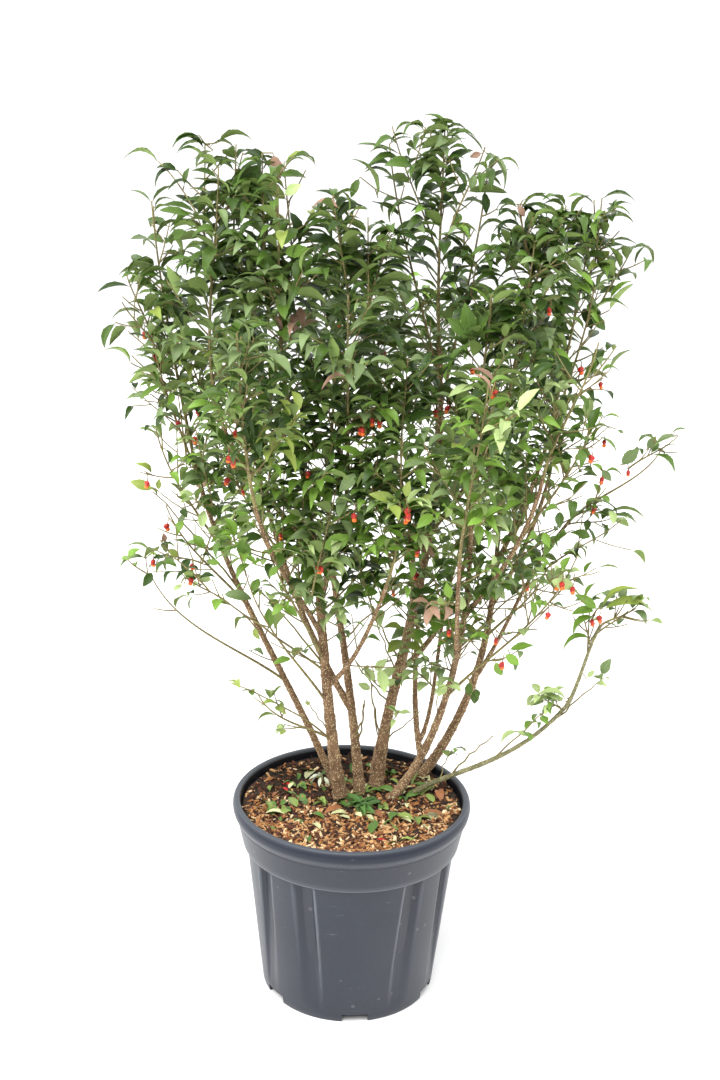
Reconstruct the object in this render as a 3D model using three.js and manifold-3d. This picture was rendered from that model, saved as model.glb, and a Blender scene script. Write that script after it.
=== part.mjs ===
import * as THREE from 'three';
import { mergeVertices } from 'three/addons/utils/BufferGeometryUtils.js';
import Module from 'manifold-3d';

const wasm = await Module();
wasm.setup();

// A dwarf burning bush in a fluted nursery pot. Millimetres, +Z up, the front of the plant towards -Y.
// The origin is the middle of the flat foot under the pot.

const gap = 0.3;
const up = new THREE.Vector3(0, 0, 1);

// Sizes of the pot
const potHeight = 297.7;
const rimRadius = 175.6;
const rimInnerRadius = 164;
const baseRadius = 129.6;
const bodyTopRadius = 155;
const bodyTop = 229;
const skirtBottom = 272;
const wall = 3.4;
const floorTop = 16;
const footRingWidth = 9;
const footRecess = 8;
const footDiscRadius = 30;
const potTurn = THREE.MathUtils.degToRad(5.5);
const notchCount = 6;
const notchWidth = 38;
const notchHeight = 9;

// The pot's wall has four wide panels and four narrow ones with sunk flutes between them
const fluteDepth = 5.5;
const quarterStations = [0, 13, 25.5, 28, 34.5, 37, 45, 53, 55.5, 62, 64.5, 77];
const fluteStations = [3, 4, 8, 9];

// Sizes of the limbs
const soilHeight = 275;
const footDepth = 14;
const flareGrowth = 0.45;
const boughFlare = 0.15;
const flareLength = 45;
const stemSides = 6;
const stemSteps = 8;
const boughSides = 5;
const boughSteps = 5;

// Sizes of the shoots and twigs
const shootSides = 3;
const shootSteps = 4;
const shootRadius = 3.4;
const shootTipRadius = 2.4;
const twigRadius = 1.8;
const twigTipRadius = 1.5;
const firstShareAtTip = 0.1;
const firstShareAtSide = 0.3;
const lastTwigShare = 0.86;
const lastPairShare = 0.93;
const goldenTurn = 2.4;
const twigTurnWobble = 0.5;
const leastTwigRise = 0.55;
const twigRiseRange = 0.35;
const leastTwigLength = 0.75;
const twigLengthRange = 0.3;
const twigShortening = 0.3;
const twigTries = [0, 0.7, -0.7, 1.4];
const pairShares = [[0.72, 0.36], [0.6]];
const pairSpacing = 45;

// Sizes of a leaf as shares of its length, and how it leaves its twig
const leafWidthShare = 0.45;
const leafWidestShare = 0.46;
const leafKeelShare = 0.3;
const leafKeelDrop = 0.025;
const leafEdgeRise = 0.045;
const leafTipDrop = 0.03;
const leafTilt = 1.1;
const rootSunk = 0.4;
const leafOut = 0.85;
const leafForward = 0.5;
const leafDroop = 0.35;
const leafWobble = 0.8;
const leafTries = [0, 0.7, -0.7, 1.4, -1.4];
const tipLeafRises = [-0.25, -0.6, 0.2];

// Clear space round leaves, limbs, masses and the pot
const leafRoom = 2;
const limbClearance = 3.2;
const spaceMargin = 4;
const potMargin = 10;
const fruitLength = 22;
const fruitRadius = 5.5;
const fruitSunk = 3;

// How far the crown reaches to the left and to the right at each height, and its half depth
const crownLevels = [500, 600, 700, 850, 1030, 1110, 1180, 1235, 1270];
const crownLeft = [170, 235, 290, 325, 352, 348, 325, 240, 130];
const crownRight = [200, 300, 370, 362, 352, 376, 325, 240, 130];
const crownDepth = [150, 210, 260, 300, 320, 310, 270, 190, 100];
const crownCorner = 3;
const thinSpread = 50;

function at(place) {
  return new THREE.Vector3(...place);
}

// Solids and meshes

function solidOf(geometry) {
  const bare = geometry.clone();
  bare.deleteAttribute('normal');
  bare.deleteAttribute('uv');
  const merged = mergeVertices(bare, 1e-4);
  const index = merged.index.array;
  const faces = [];
  for (let i = 0; i < index.length; i += 3) {
    const [a, b, c] = [index[i], index[i + 1], index[i + 2]];
    if (a !== b && b !== c && c !== a) faces.push(a, b, c);
  }
  const vertProperties = new Float32Array(merged.attributes.position.array);
  return new wasm.Manifold(new wasm.Mesh({ numProp: 3, vertProperties, triVerts: new Uint32Array(faces) }));
}

function geometryOf(solid) {
  const mesh = solid.getMesh();
  const geometry = new THREE.BufferGeometry();
  geometry.setAttribute('position', new THREE.BufferAttribute(mesh.vertProperties, 3));
  geometry.setIndex(new THREE.BufferAttribute(mesh.triVerts, 1));
  geometry.computeVertexNormals();
  return geometry;
}

function joined(solids) {
  return solids.reduce((whole, solid) => whole.add(solid));
}

function largestPiece(solid) {
  const pieces = solid.decompose();
  return pieces.reduce((best, piece) => (piece.volume() > best.volume() ? piece : best));
}

// Pot and potting mix

function bodyRadius(height) {
  return baseRadius + (bodyTopRadius - baseRadius) * (height / bodyTop);
}

function riseOf(height) {
  return THREE.MathUtils.clamp((height - floorTop) / (bodyTop - floorTop), 0, 1);
}

// The inside is a smooth cone that clears the deepest of the flutes
function innerRadius(height) {
  return bodyRadius(height) - wall - fluteDepth * riseOf(height);
}

function fluted(geometry, turn) {
  const place = geometry.attributes.position;
  const perQuarter = quarterStations.length;
  const segment = (Math.PI / 2) / perQuarter;
  for (let i = 0; i < place.count; i++) {
    const radius = Math.hypot(place.getX(i), place.getZ(i));
    if (radius < 1e-6) continue;
    const angle = Math.atan2(place.getX(i), place.getZ(i));
    const station = (Math.round(angle / segment) + 4 * perQuarter) % (4 * perQuarter);
    const quarter = Math.floor(station / perQuarter);
    const inQuarter = station % perQuarter;
    const turned = THREE.MathUtils.degToRad(quarterStations[inQuarter] + 90 * quarter) + turn;
    const height = place.getY(i);
    const onWall = height <= bodyTop && Math.abs(radius - bodyRadius(height)) < 0.1;
    const sunk = onWall && fluteStations.includes(inQuarter) ? fluteDepth * riseOf(height) : 0;
    place.setXYZ(i, (radius - sunk) * Math.sin(turned), height, (radius - sunk) * Math.cos(turned));
  }
  geometry.rotateX(Math.PI / 2);
  return geometry;
}

function turnedShape(profile, turn) {
  const points = profile.map(([radius, height]) => new THREE.Vector2(radius, height));
  return fluted(new THREE.LatheGeometry(points, 4 * quarterStations.length), turn);
}

function makePot() {
  const profile = [
    [0, 0],
    [footDiscRadius, 0],
    [footDiscRadius + 2, footRecess],
    [baseRadius - footRingWidth, footRecess],
    [baseRadius - footRingWidth, 0],
    [baseRadius, 0],
    [bodyRadius(floorTop), floorTop],
    [bodyTopRadius, bodyTop],
    [bodyTopRadius + 5, bodyTop + 2],
    [rimRadius - 7.5, skirtBottom - 1],
    [rimRadius - 3, skirtBottom],
    [rimRadius, potHeight - 8],
    [rimRadius - 5.5, potHeight],
    [rimInnerRadius + 4, potHeight],
    [rimInnerRadius, potHeight - 8],
    [rimInnerRadius - 6, bodyTop + 20],
    [innerRadius(bodyTop), bodyTop],
    [innerRadius(floorTop), floorTop],
    [0, floorTop],
  ];
  let pot = solidOf(turnedShape(profile, potTurn));
  for (let i = 0; i < notchCount; i++) {
    const notch = new THREE.BoxGeometry(notchWidth, 4 * footRingWidth, 2 * notchHeight);
    notch.translate(0, -(baseRadius - footRingWidth / 2), 0);
    notch.rotateZ(potTurn + (2 * Math.PI * i) / notchCount);
    pot = pot.subtract(solidOf(notch));
  }
  return pot;
}

function makeMix() {
  const side = gap + 0.1;
  const profile = [
    [0, floorTop + gap],
    [innerRadius(floorTop) - side, floorTop + gap],
    [innerRadius(bodyTop) - side, bodyTop],
    [rimInnerRadius - 6 - side, bodyTop + 20],
    [rimInnerRadius - 3 - side, soilHeight],
    [0, soilHeight],
  ];
  return solidOf(turnedShape(profile, potTurn));
}

// A round limb or shoot along a curve, thinner towards its tip

function tapered(curve, radiusAt, sides, steps) {
  const geometry = new THREE.CylinderGeometry(1, 1, 1, sides, steps);
  const frames = curve.computeFrenetFrames(steps);
  const place = geometry.attributes.position;
  for (let i = 0; i < place.count; i++) {
    const step = Math.round((place.getY(i) + 0.5) * steps);
    const share = step / steps;
    const radius = radiusAt(share);
    const point = curve.getPointAt(share);
    point.addScaledVector(frames.normals[step], place.getX(i) * radius);
    point.addScaledVector(frames.binormals[step], -place.getZ(i) * radius);
    place.setXYZ(i, point.x, point.y, point.z);
  }
  return geometry;
}

function shareAtHeight(curve, height) {
  let [low, high] = [0, 1];
  for (let i = 0; i < 30; i++) {
    const middle = (low + high) / 2;
    if (curve.getPointAt(middle).z < height) low = middle;
    else high = middle;
  }
  return low;
}

const limbs = [];
const limbNamed = (name) => limbs.find((limb) => limb.name === name);

function addLimb(name, parent, curve, radii, sides, steps, flare) {
  const length = curve.getLength();
  const radiusAt = (share) => {
    const plain = radii[0] + (radii[1] - radii[0]) * share;
    return plain * (1 + flare * Math.exp((-share * length) / flareLength));
  };
  limbs.push({ name, parent, curve, radiusAt, axis: curve.getSpacedPoints(steps), sides, steps });
}

function stem(name, foot, bendA, bendB, tip, radii) {
  const start = at([...foot, soilHeight - footDepth]);
  const curve = new THREE.CubicBezierCurve3(start, at(bendA), at(bendB), at(tip));
  addLimb(name, null, curve, radii, stemSides, stemSteps, flareGrowth);
}

function bough(name, parent, height, bendA, bendB, tip, radii) {
  const carrier = limbNamed(parent).curve;
  const start = carrier.getPointAt(shareAtHeight(carrier, height));
  const curve = new THREE.CubicBezierCurve3(start, at(bendA), at(bendB), at(tip));
  addLimb(name, parent, curve, radii, boughSides, boughSteps, boughFlare);
}

function boughFromTip(name, parent, bendA, bendB, tip, radii) {
  const carrier = limbNamed(parent).curve;
  const start = carrier.getPointAt(1).addScaledVector(carrier.getTangentAt(1), gap);
  const curve = new THREE.CubicBezierCurve3(start, at(bendA), at(bendB), at(tip));
  addLimb(name, null, curve, radii, boughSides, boughSteps, 0);
}

// Each stem: its foot on the mix, two bends, its tip, and its radii at the foot and at the tip
stem('stem_left', [-20, 74], [-110, 100, 470], [-205, 72, 610], [-238, 56, 800], [5.6, 2.8]);
stem('stem_front_left', [-14, 34], [-55, 30, 480], [-40, -15, 640], [-90, -62, 860], [9.2, 3]);
stem('stem_middle_left', [13, 46], [-15, 105, 555], [-55, 140, 600], [-45, 145, 780], [7.4, 2.8]);
stem('stem_middle', [37, 70], [45, 70, 475], [135, 50, 655], [104, 30, 960], [9.2, 2.8]);
stem('stem_front_right', [47, 30], [125, 45, 340], [170, 25, 520], [152, -40, 760], [6.4, 2.8]);
stem('stem_right', [92, 97], [215, 100, 430], [205, 115, 575], [210, 120, 720], [7.4, 2.8]);
stem('stem_low_right', [74, 52], [135, 30, 330], [225, -10, 345], [300, -30, 457], [3.8, 2.8]);
stem('stem_back', [36, 112], [34, 125, 400], [135, 160, 480], [60, 228, 740], [6.4, 2.8]);

// Each bough: the limb that carries it and the height where it leaves, two bends, its tip and its radii
boughFromTip('bough_low_right_tip', 'stem_low_right', [316, -35, 480], [325, -35, 555], [340, -40, 585], [2.8, 2]);
bough('bough_left_inner', 'stem_front_left', 650, [-100, -5, 740], [-170, -25, 790], [-190, -32, 870], [4.2, 2.7]);
bough('bough_front_middle', 'stem_front_left', 600, [-32, -35, 680], [-15, -75, 740], [-16, -92, 810], [4, 2.7]);
bough('bough_front_low', 'stem_front_left', 460, [0, 10, 500], [20, -55, 580], [40, -88, 655], [3.4, 2.5]);
bough('bough_front_left', 'stem_front_left', 540, [-75, -40, 620], [-115, -130, 690], [-130, -172, 780], [3.6, 2.6]);
bough('bough_left_back', 'stem_middle_left', 400, [-90, 130, 520], [-130, 185, 640], [-162, 205, 760], [5.2, 2.7]);
bough('bough_middle_right', 'stem_middle', 470, [130, 90, 515], [160, 110, 590], [168, 128, 680], [4, 2.6]);
bough('bough_middle_top', 'stem_middle', 690, [150, 25, 760], [190, 0, 830], [198, -12, 905], [3.8, 2.6]);
bough('bough_back_right', 'stem_front_right', 345, [78, 110, 450], [104, 180, 570], [114, 222, 705], [4.2, 2.7]);
bough('bough_back_low', 'bough_back_right', 362, [135, 85, 420], [115, 165, 540], [178, 208, 670], [3, 2.4]);
bough('bough_right_front', 'stem_front_right', 580, [190, -45, 650], [228, -78, 720], [240, -86, 805], [3.8, 2.6]);
bough('bough_front_right', 'stem_front_right', 480, [145, -35, 550], [132, -120, 620], [130, -160, 710], [3.6, 2.5]);
bough('bough_right_upper', 'stem_right', 620, [235, 110, 700], [265, 95, 770], [275, 86, 860], [3.8, 2.6]);
bough('bough_right_back', 'stem_right', 560, [240, 125, 620], [270, 145, 680], [285, 158, 755], [3.8, 2.6]);
bough('bough_right_long', 'stem_right', 443, [230, 90, 530], [245, 70, 630], [302, 50, 712], [3.2, 2.2]);

// A mass of foliage grows from a limb's tip, or from its side at a height, round one leading shoot.
// Each has the shoot's tip, the length of its twigs, their number and its length of leaf.
const masses = [];

function mass(name, carrier, height, tip, spread, twigs, leaf, fruits = 0) {
  masses.push({ name, carrier, height, tip: at(tip), spread, reach: spread + leaf, twigs, leaf, fruits });
}

mass('foliage_left_top', 'stem_left', 'tip', [-288, 50, 1140], 68, 4, 80);
mass('foliage_left_inner_top', 'bough_left_inner', 'tip', [-187, -52, 1187], 68, 4, 80);
mass('foliage_left_outer_top', 'stem_left', 740, [-285, 15, 965], 68, 4, 80);
mass('foliage_left_outer', 'stem_left', 640, [-272, -50, 850], 68, 4, 80, 1);
mass('foliage_left_twig', 'stem_left', 560, [-270, 10, 732], 40, 4, 58, 1);
mass('foliage_left_low_twig', 'stem_left', 440, [-290, 5, 625], 40, 4, 58);
mass('foliage_left_low', 'stem_front_left', 430, [-150, -60, 650], 60, 4, 66);
mass('foliage_low_left_shoot', 'stem_front_left', 372, [-135, -68, 485], 40, 4, 58, 1);
mass('foliage_front_left_top', 'stem_front_left', 'tip', [-110, -90, 1168], 68, 4, 80);
mass('foliage_middle_left_top', 'stem_middle_left', 'tip', [-34, 95, 1128], 68, 4, 80);
mass('foliage_left_back_top', 'bough_left_back', 'tip', [-185, 205, 1060], 68, 4, 80);
mass('foliage_left_back', 'bough_left_back', 600, [-235, 190, 830], 68, 4, 80);
mass('foliage_front_left', 'bough_front_left', 'tip', [-150, -200, 1000], 68, 4, 80);
mass('foliage_front_left_low', 'stem_front_left', 500, [-130, -140, 770], 68, 4, 80, 2);
mass('foliage_top', 'stem_middle', 'tip', [99, 20, 1240], 40, 5, 58);
mass('foliage_top_left', 'stem_middle', 900, [28, 45, 1222], 40, 4, 58);
mass('foliage_top_right', 'stem_middle', 870, [156, 5, 1190], 40, 4, 58);
mass('foliage_front_middle', 'bough_front_middle', 'tip', [-20, -130, 1040], 68, 4, 80);
mass('foliage_front_low', 'bough_front_low', 'tip', [52, -160, 870], 68, 4, 80, 2);
mass('foliage_back', 'stem_back', 'tip', [5, 250, 1030], 68, 4, 80);
mass('foliage_back_right', 'bough_back_right', 'tip', [110, 228, 1030], 68, 4, 80);
mass('foliage_front_right_top', 'stem_front_right', 'tip', [160, -85, 1040], 68, 4, 80);
mass('foliage_right_inner_top', 'bough_middle_top', 'tip', [216, -42, 1105], 68, 4, 80);
mass('foliage_right_top', 'bough_right_upper', 'tip', [303, 66, 1105], 68, 4, 80);
mass('foliage_right_outer_top', 'bough_right_upper', 800, [305, 5, 1045], 68, 4, 80);
mass('foliage_right_front', 'bough_right_front', 'tip', [300, -85, 985], 68, 4, 80, 1);
mass('foliage_right_outer', 'bough_right_front', 700, [305, -60, 875], 68, 4, 80, 1);
mass('foliage_right_back', 'bough_right_back', 'tip', [272, 170, 975], 68, 4, 80);
mass('foliage_middle_right', 'bough_middle_right', 'tip', [190, 115, 910], 68, 4, 80);
mass('foliage_back_low', 'bough_back_low', 'tip', [225, 235, 890], 68, 4, 80);
mass('foliage_right_long_shoot', 'bough_right_long', 'tip', [418, 25, 825], 40, 4, 58, 1);
mass('foliage_right_low', 'stem_front_right', 445, [290, -100, 705], 68, 4, 80, 1);
mass('foliage_right_inner_low', 'stem_right', 510, [270, 20, 650], 60, 4, 66);
mass('foliage_low_right_shoot', 'bough_low_right_tip', 'tip', [376, -45, 612], 40, 4, 58, 1);
mass('foliage_front_right', 'bough_front_right', 'tip', [150, -210, 945], 68, 4, 80, 1);

for (const item of masses) {
  const { curve } = limbNamed(item.carrier);
  const fromTip = item.height === 'tip';
  const share = fromTip ? 1 : shareAtHeight(curve, item.height);
  const along = curve.getTangentAt(share);
  const start = curve.getPointAt(share);
  if (fromTip) start.addScaledVector(along, gap);
  const chord = item.tip.clone().sub(start);
  const length = chord.length();
  const way = chord.clone().normalize();
  const leaving = fromTip ? along : way;
  const bendA = start.clone().addScaledVector(leaving, length / 3);
  const bendB = item.tip.clone().addScaledVector(way.clone().add(up).normalize(), -length / 3);
  item.shoot = new THREE.CubicBezierCurve3(start, bendA, bendB, item.tip);
  item.axis = item.shoot.getSpacedPoints(shootSteps);
}

// A point inside the shoot's solid, away from the bends between its straight stretches, and its direction

function placeOn(axis, share) {
  const steps = axis.length - 1;
  const stretch = Math.min(Math.floor(share * steps), steps - 1);
  const part = THREE.MathUtils.clamp(share * steps - stretch, 0.15, 0.9);
  const [from, to] = [axis[stretch], axis[stretch + 1]];
  return { root: from.clone().lerp(to, part), along: to.clone().sub(from).normalize() };
}

// Distances between straight stretches, to keep each mass in its own space and off the limbs

function stretchDistance(p, q, r, s) {
  const d1 = q.clone().sub(p);
  const d2 = s.clone().sub(r);
  const between = p.clone().sub(r);
  const a = d1.dot(d1);
  const e = d2.dot(d2);
  const f = d2.dot(between);
  const c = d1.dot(between);
  const b = d1.dot(d2);
  const clamp = (value) => Math.min(Math.max(value, 0), 1);
  const spread = a * e - b * b;
  let first = spread > 1e-9 ? clamp((b * f - c * e) / spread) : 0;
  let second = e > 1e-9 ? (b * first + f) / e : 0;
  if (second < 0 || second > 1) {
    second = clamp(second);
    first = a > 1e-9 ? clamp((b * second - c) / a) : 0;
  }
  return p.clone().addScaledVector(d1, first).distanceTo(r.clone().addScaledVector(d2, second));
}

function axisDistance(point, axis) {
  let best = Infinity;
  for (let i = 0; i + 1 < axis.length; i++) {
    best = Math.min(best, stretchDistance(point, point, axis[i], axis[i + 1]));
  }
  return best;
}

function atLevel(sizes, height) {
  const above = crownLevels.findIndex((level) => level > height);
  if (above < 0) return 1;
  if (above === 0) return sizes[0];
  const part = (height - crownLevels[above - 1]) / (crownLevels[above] - crownLevels[above - 1]);
  return sizes[above - 1] + (sizes[above] - sizes[above - 1]) * part;
}

function inCrown({ x, y, z }) {
  const wide = Math.abs(x) / atLevel(x < 0 ? crownLeft : crownRight, z);
  const deep = Math.abs(y) / atLevel(crownDepth, z);
  return wide ** crownCorner + deep ** crownCorner < 1;
}

function inOwnSpace(points, own) {
  for (const point of points) {
    if (own.spread > thinSpread && !inCrown(point)) return false;
    const distance = axisDistance(point, own.axis);
    if (distance > own.reach) return false;
    for (const other of masses) {
      if (other !== own && axisDistance(point, other.axis) < distance + spaceMargin) return false;
    }
    const overPot = Math.hypot(point.x, point.y) < rimRadius + potMargin;
    if (overPot && point.z < potHeight + potMargin) return false;
  }
  return true;
}

function clearOfLimbs(stretches) {
  for (const { axis, radiusAt } of limbs) {
    for (let i = 0; i + 1 < axis.length; i++) {
      const room = radiusAt(i / (axis.length - 1)) + limbClearance;
      for (const [p, q] of stretches) {
        if (stretchDistance(p, q, axis[i], axis[i + 1]) < room) return false;
      }
    }
  }
  return true;
}

// Random numbers that come out the same on every run

function dice(seed) {
  let state = (seed * 7919 + 17) >>> 0;
  const roll = () => {
    state = (Math.imul(state, 1664525) + 1013904223) >>> 0;
    return state / 4294967296;
  };
  for (let i = 0; i < 5; i++) roll();
  return roll;
}

// A leaf is a blade of six faces, widest before its middle, with a keel below

function leafFrame(root, way, length, tilt) {
  const across = way.clone().cross(up).normalize().applyAxisAngle(way, tilt);
  const above = across.clone().cross(way).normalize();
  const half = (length * leafWidthShare) / 2;
  const placed = (along, out, raise) =>
    root.clone().addScaledVector(way, along).addScaledVector(across, out).addScaledVector(above, raise);
  const middle = placed(leafKeelShare * length, 0, -leafKeelDrop * length);
  const left = placed(leafWidestShare * length, -half, leafEdgeRise * length);
  const right = placed(leafWidestShare * length, half, leafEdgeRise * length);
  const tip = placed(length, 0, -leafTipDrop * length);
  return { root, across, above, middle, left, right, tip };
}

function leafPoints({ root, middle, left, right, tip }) {
  const points = [middle, left, right, tip];
  for (const side of [left, right, middle]) {
    points.push(root.clone().lerp(side, 0.5), side.clone().lerp(tip, 0.5));
  }
  return points;
}

function leafStretches({ root, middle, left, right, tip }) {
  const nearRoot = root.clone().lerp(middle, 0.2);
  return [[nearRoot, tip], [nearRoot, left], [nearRoot, right], [left, tip], [right, tip], [left, right]];
}

// A three-sided solid through rings of three corners each

function ringed(rings) {
  const steps = rings.length - 1;
  const shape = new THREE.CylinderGeometry(1, 1, 1, 3, steps);
  const place = shape.attributes.position;
  for (let i = 0; i < place.count; i++) {
    const [x, z] = [place.getX(i), place.getZ(i)];
    const [first, second, third] = rings[Math.round((place.getY(i) + 0.5) * steps)];
    const middle = first.clone().add(second).add(third).divideScalar(3);
    const corner = (Math.round(Math.atan2(x, z) / (2 * Math.PI / 3)) + 3) % 3;
    const chosen = Math.hypot(x, z) < 1e-6 ? middle : [first, second, third][corner];
    place.setXYZ(i, chosen.x, chosen.y, chosen.z);
  }
  return solidOf(shape);
}

function ringAround(centre, { across, above }, radius) {
  return [210, 330, 90].map((degrees) => {
    const angle = THREE.MathUtils.degToRad(degrees);
    const corner = centre.clone().addScaledVector(across, radius * Math.cos(angle));
    return corner.addScaledVector(above, -radius * Math.sin(angle));
  });
}

function bladeRings({ left, right, middle, tip }) {
  return [[left, right, middle], [tip, tip, tip]];
}

// The root is drawn back past the twig's axis, so that the blade is sunk well in
function leafSolid(leaf) {
  const root = leaf.root.clone().addScaledVector(leaf.middle.clone().sub(leaf.root).normalize(), -rootSunk);
  return ringed([[root, root, root], ...bladeRings(leaf)]);
}

function fruitSolid(root) {
  const shape = new THREE.OctahedronGeometry(1);
  shape.scale(fruitRadius, fruitRadius, fruitLength / 2);
  shape.translate(root.x, root.y, root.z - fruitLength / 2 + fruitSunk);
  return solidOf(shape);
}

// A mass: a leading shoot, twigs that leave it in a spiral, and leaves in pairs and at the tips

function growMass(own, index) {
  const roll = dice(index + 1);
  const shootRadiusAt = (share) => shootRadius + (shootTipRadius - shootRadius) * share;
  const solids = [solidOf(tapered(own.shoot, shootRadiusAt, shootSides, shootSteps))];
  const taken = [];
  for (let i = 0; i + 1 < own.axis.length; i++) taken.push([own.axis[i], own.axis[i + 1]]);

  const free = (stretches, room) =>
    stretches.every(([p, q]) => taken.every(([r, s]) => stretchDistance(p, q, r, s) > room));

  const tryLeaf = (root, ways, length) => {
    const tilt = (roll() - 0.5) * 2 * leafTilt;
    for (const way of ways) {
      const frame = leafFrame(root, way.normalize(), length, tilt);
      const stretches = leafStretches(frame);
      if (inOwnSpace(leafPoints(frame), own) && clearOfLimbs(stretches) && free(stretches, leafRoom)) {
        taken.push(...stretches);
        own.leafCount += 1;
        return frame;
      }
    }
    return null;
  };

  const pairAt = (root, along, length, spin) => {
    const flat = along.clone().cross(up);
    const side = flat.length() > 0.3 ? flat.normalize() : new THREE.Vector3(1, 0, 0);
    side.projectOnPlane(along).normalize().applyAxisAngle(along, spin + (roll() - 0.5) * leafWobble);
    const leaves = [];
    for (const hand of [-1, 1]) {
      const ways = leafTries.map((turn) => {
        const out = side.clone().multiplyScalar(hand).applyAxisAngle(along, turn);
        return out.multiplyScalar(leafOut).addScaledVector(along, leafForward).addScaledVector(up, -leafDroop);
      });
      const frame = tryLeaf(root, ways, length);
      if (frame) leaves.push(leafSolid(frame));
    }
    return leaves;
  };

  const tipLeaf = (root, along, length) => {
    const ways = tipLeafRises.map((rise) => along.clone().addScaledVector(up, rise));
    return tryLeaf(root, ways, length);
  };

  const placeTwig = (share, turn, rise, long) => {
    const { root, along } = placeOn(own.axis, share);
    const sideways = Math.abs(along.z) > 0.9 ? new THREE.Vector3(1, 0, 0) : along.clone().cross(up);
    for (const shift of twigTries) {
      const out = sideways.clone().projectOnPlane(along).normalize().applyAxisAngle(along, turn + shift);
      const way = out.multiplyScalar(Math.cos(rise)).addScaledVector(along, Math.sin(rise)).normalize();
      const tip = root.clone().addScaledVector(way, long);
      const stretch = [root.clone().lerp(tip, 0.15), tip];
      const points = [0.35, 0.7, 1].map((part) => root.clone().lerp(tip, part));
      if (inOwnSpace(points, own) && clearOfLimbs([stretch]) && free([stretch], 2 * twigRadius)) {
        taken.push(stretch);
        return { root, tip, way, pairs: pairShares[placed.length % 2] };
      }
    }
    return null;
  };

  own.leafCount = 0;
  const firstShare = own.height === 'tip' ? firstShareAtTip : firstShareAtSide;
  const placed = [];
  for (let k = 0; k < own.twigs; k++) {
    const share = firstShare + ((lastTwigShare - firstShare) * (k + 0.5 * roll())) / own.twigs;
    const turn = k * goldenTurn + twigTurnWobble * roll();
    const rise = leastTwigRise + twigRiseRange * roll();
    const long = own.spread * (leastTwigLength + twigLengthRange * roll()) * (1 - twigShortening * share);
    placed.push(placeTwig(share, turn, rise, long));
  }
  const shootEnd = placeOn(own.axis, 1);
  const last = tipLeaf(shootEnd.root.lerp(own.tip, 0.75), shootEnd.along, own.leaf);
  if (last) solids.push(leafSolid(last));
  const leafyShare = lastPairShare - firstShare;
  const pairCount = Math.round((own.shoot.getLength() * leafyShare) / pairSpacing);
  for (let k = 0; k < pairCount; k++) {
    const { root, along } = placeOn(own.axis, lastPairShare - (leafyShare * k) / pairCount);
    solids.push(...pairAt(root, along, own.leaf, (k % 2) * (Math.PI / 2)));
  }
  for (const twig of placed) {
    if (!twig) continue;
    const frame = leafFrame(twig.root, twig.way, own.leaf, 0);
    const end = tipLeaf(twig.tip, twig.way, own.leaf);
    const leaves = twig.pairs.flatMap((share) => {
      return pairAt(twig.root.clone().lerp(twig.tip, share), twig.way, own.leaf, 0);
    });
    if (!end && !leaves.length) continue;
    const rings = [ringAround(twig.root, frame, twigRadius), ringAround(twig.tip, frame, twigTipRadius)];
    solids.push(ringed(end ? [...rings, ...bladeRings(end)] : rings), ...leaves);
  }

  for (let k = 0; k < own.fruits; k++) {
    const { root } = placeOn(own.axis, 0.45 + 0.25 * k);
    const stretch = [root.clone().addScaledVector(up, -7), root.clone().addScaledVector(up, -fruitLength)];
    if (inOwnSpace(stretch, own) && clearOfLimbs([stretch]) && free([stretch], fruitRadius)) {
      solids.push(fruitSolid(root));
    }
  }
  return joined(solids);
}

// The whole plant

const plant = new THREE.Group();
plant.name = 'potted_dwarf_burning_bush';

const finishes = {
  pot: { color: 0x34383f, roughness: 0.5, metalness: 0 },
  mix: { color: 0x6b4227, roughness: 0.95, metalness: 0 },
  bark: { color: 0x84694a, roughness: 0.9, metalness: 0 },
  leaves: { color: 0x3f6b2c, roughness: 0.6, metalness: 0 },
};

function show(name, solid, finish) {
  const piece = new THREE.Mesh(geometryOf(solid), new THREE.MeshStandardMaterial(finishes[finish]));
  piece.name = name;
  plant.add(piece);
}

function limbSolid(limb, extra) {
  return solidOf(tapered(limb.curve, (share) => limb.radiusAt(share) + extra, limb.sides, limb.steps));
}

function underSoil() {
  const block = new THREE.BoxGeometry(400, 400, 100);
  block.translate(0, 0, soilHeight + gap - 50);
  return solidOf(block);
}

show('pot', makePot(), 'pot');
show('potting_mix', makeMix(), 'mix');

const soilBlock = underSoil();
for (const limb of limbs) {
  let solid = limbSolid(limb, 0);
  if (limb.parent) solid = solid.subtract(limbSolid(limbNamed(limb.parent), gap));
  else if (limb.name.startsWith('stem')) solid = solid.subtract(soilBlock);
  show(limb.name, largestPiece(solid), 'bark');
}

masses.forEach((own, index) => {
  let solid = growMass(own, index);
  if (own.height !== 'tip') solid = solid.subtract(limbSolid(limbNamed(own.carrier), gap));
  show(own.name, largestPiece(solid), 'leaves');
});

export default plant;
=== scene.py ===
import math

import bmesh
import bpy
import numpy as np
from mathutils import Matrix, Vector, noise


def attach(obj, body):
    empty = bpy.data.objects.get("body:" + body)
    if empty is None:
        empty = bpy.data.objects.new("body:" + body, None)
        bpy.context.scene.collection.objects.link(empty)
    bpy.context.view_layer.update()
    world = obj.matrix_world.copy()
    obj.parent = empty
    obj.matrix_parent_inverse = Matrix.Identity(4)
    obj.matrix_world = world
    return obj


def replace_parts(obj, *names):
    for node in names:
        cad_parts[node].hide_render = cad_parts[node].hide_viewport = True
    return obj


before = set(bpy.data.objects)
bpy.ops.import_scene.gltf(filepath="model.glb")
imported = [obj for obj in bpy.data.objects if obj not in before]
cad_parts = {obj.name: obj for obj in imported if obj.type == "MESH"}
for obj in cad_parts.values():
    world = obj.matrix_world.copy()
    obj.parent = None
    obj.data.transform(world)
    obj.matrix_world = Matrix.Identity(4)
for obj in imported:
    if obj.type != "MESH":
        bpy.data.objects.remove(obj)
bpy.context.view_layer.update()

mm = 0.001
upWay = np.array([0.0, 0.0, 1.0])


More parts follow.
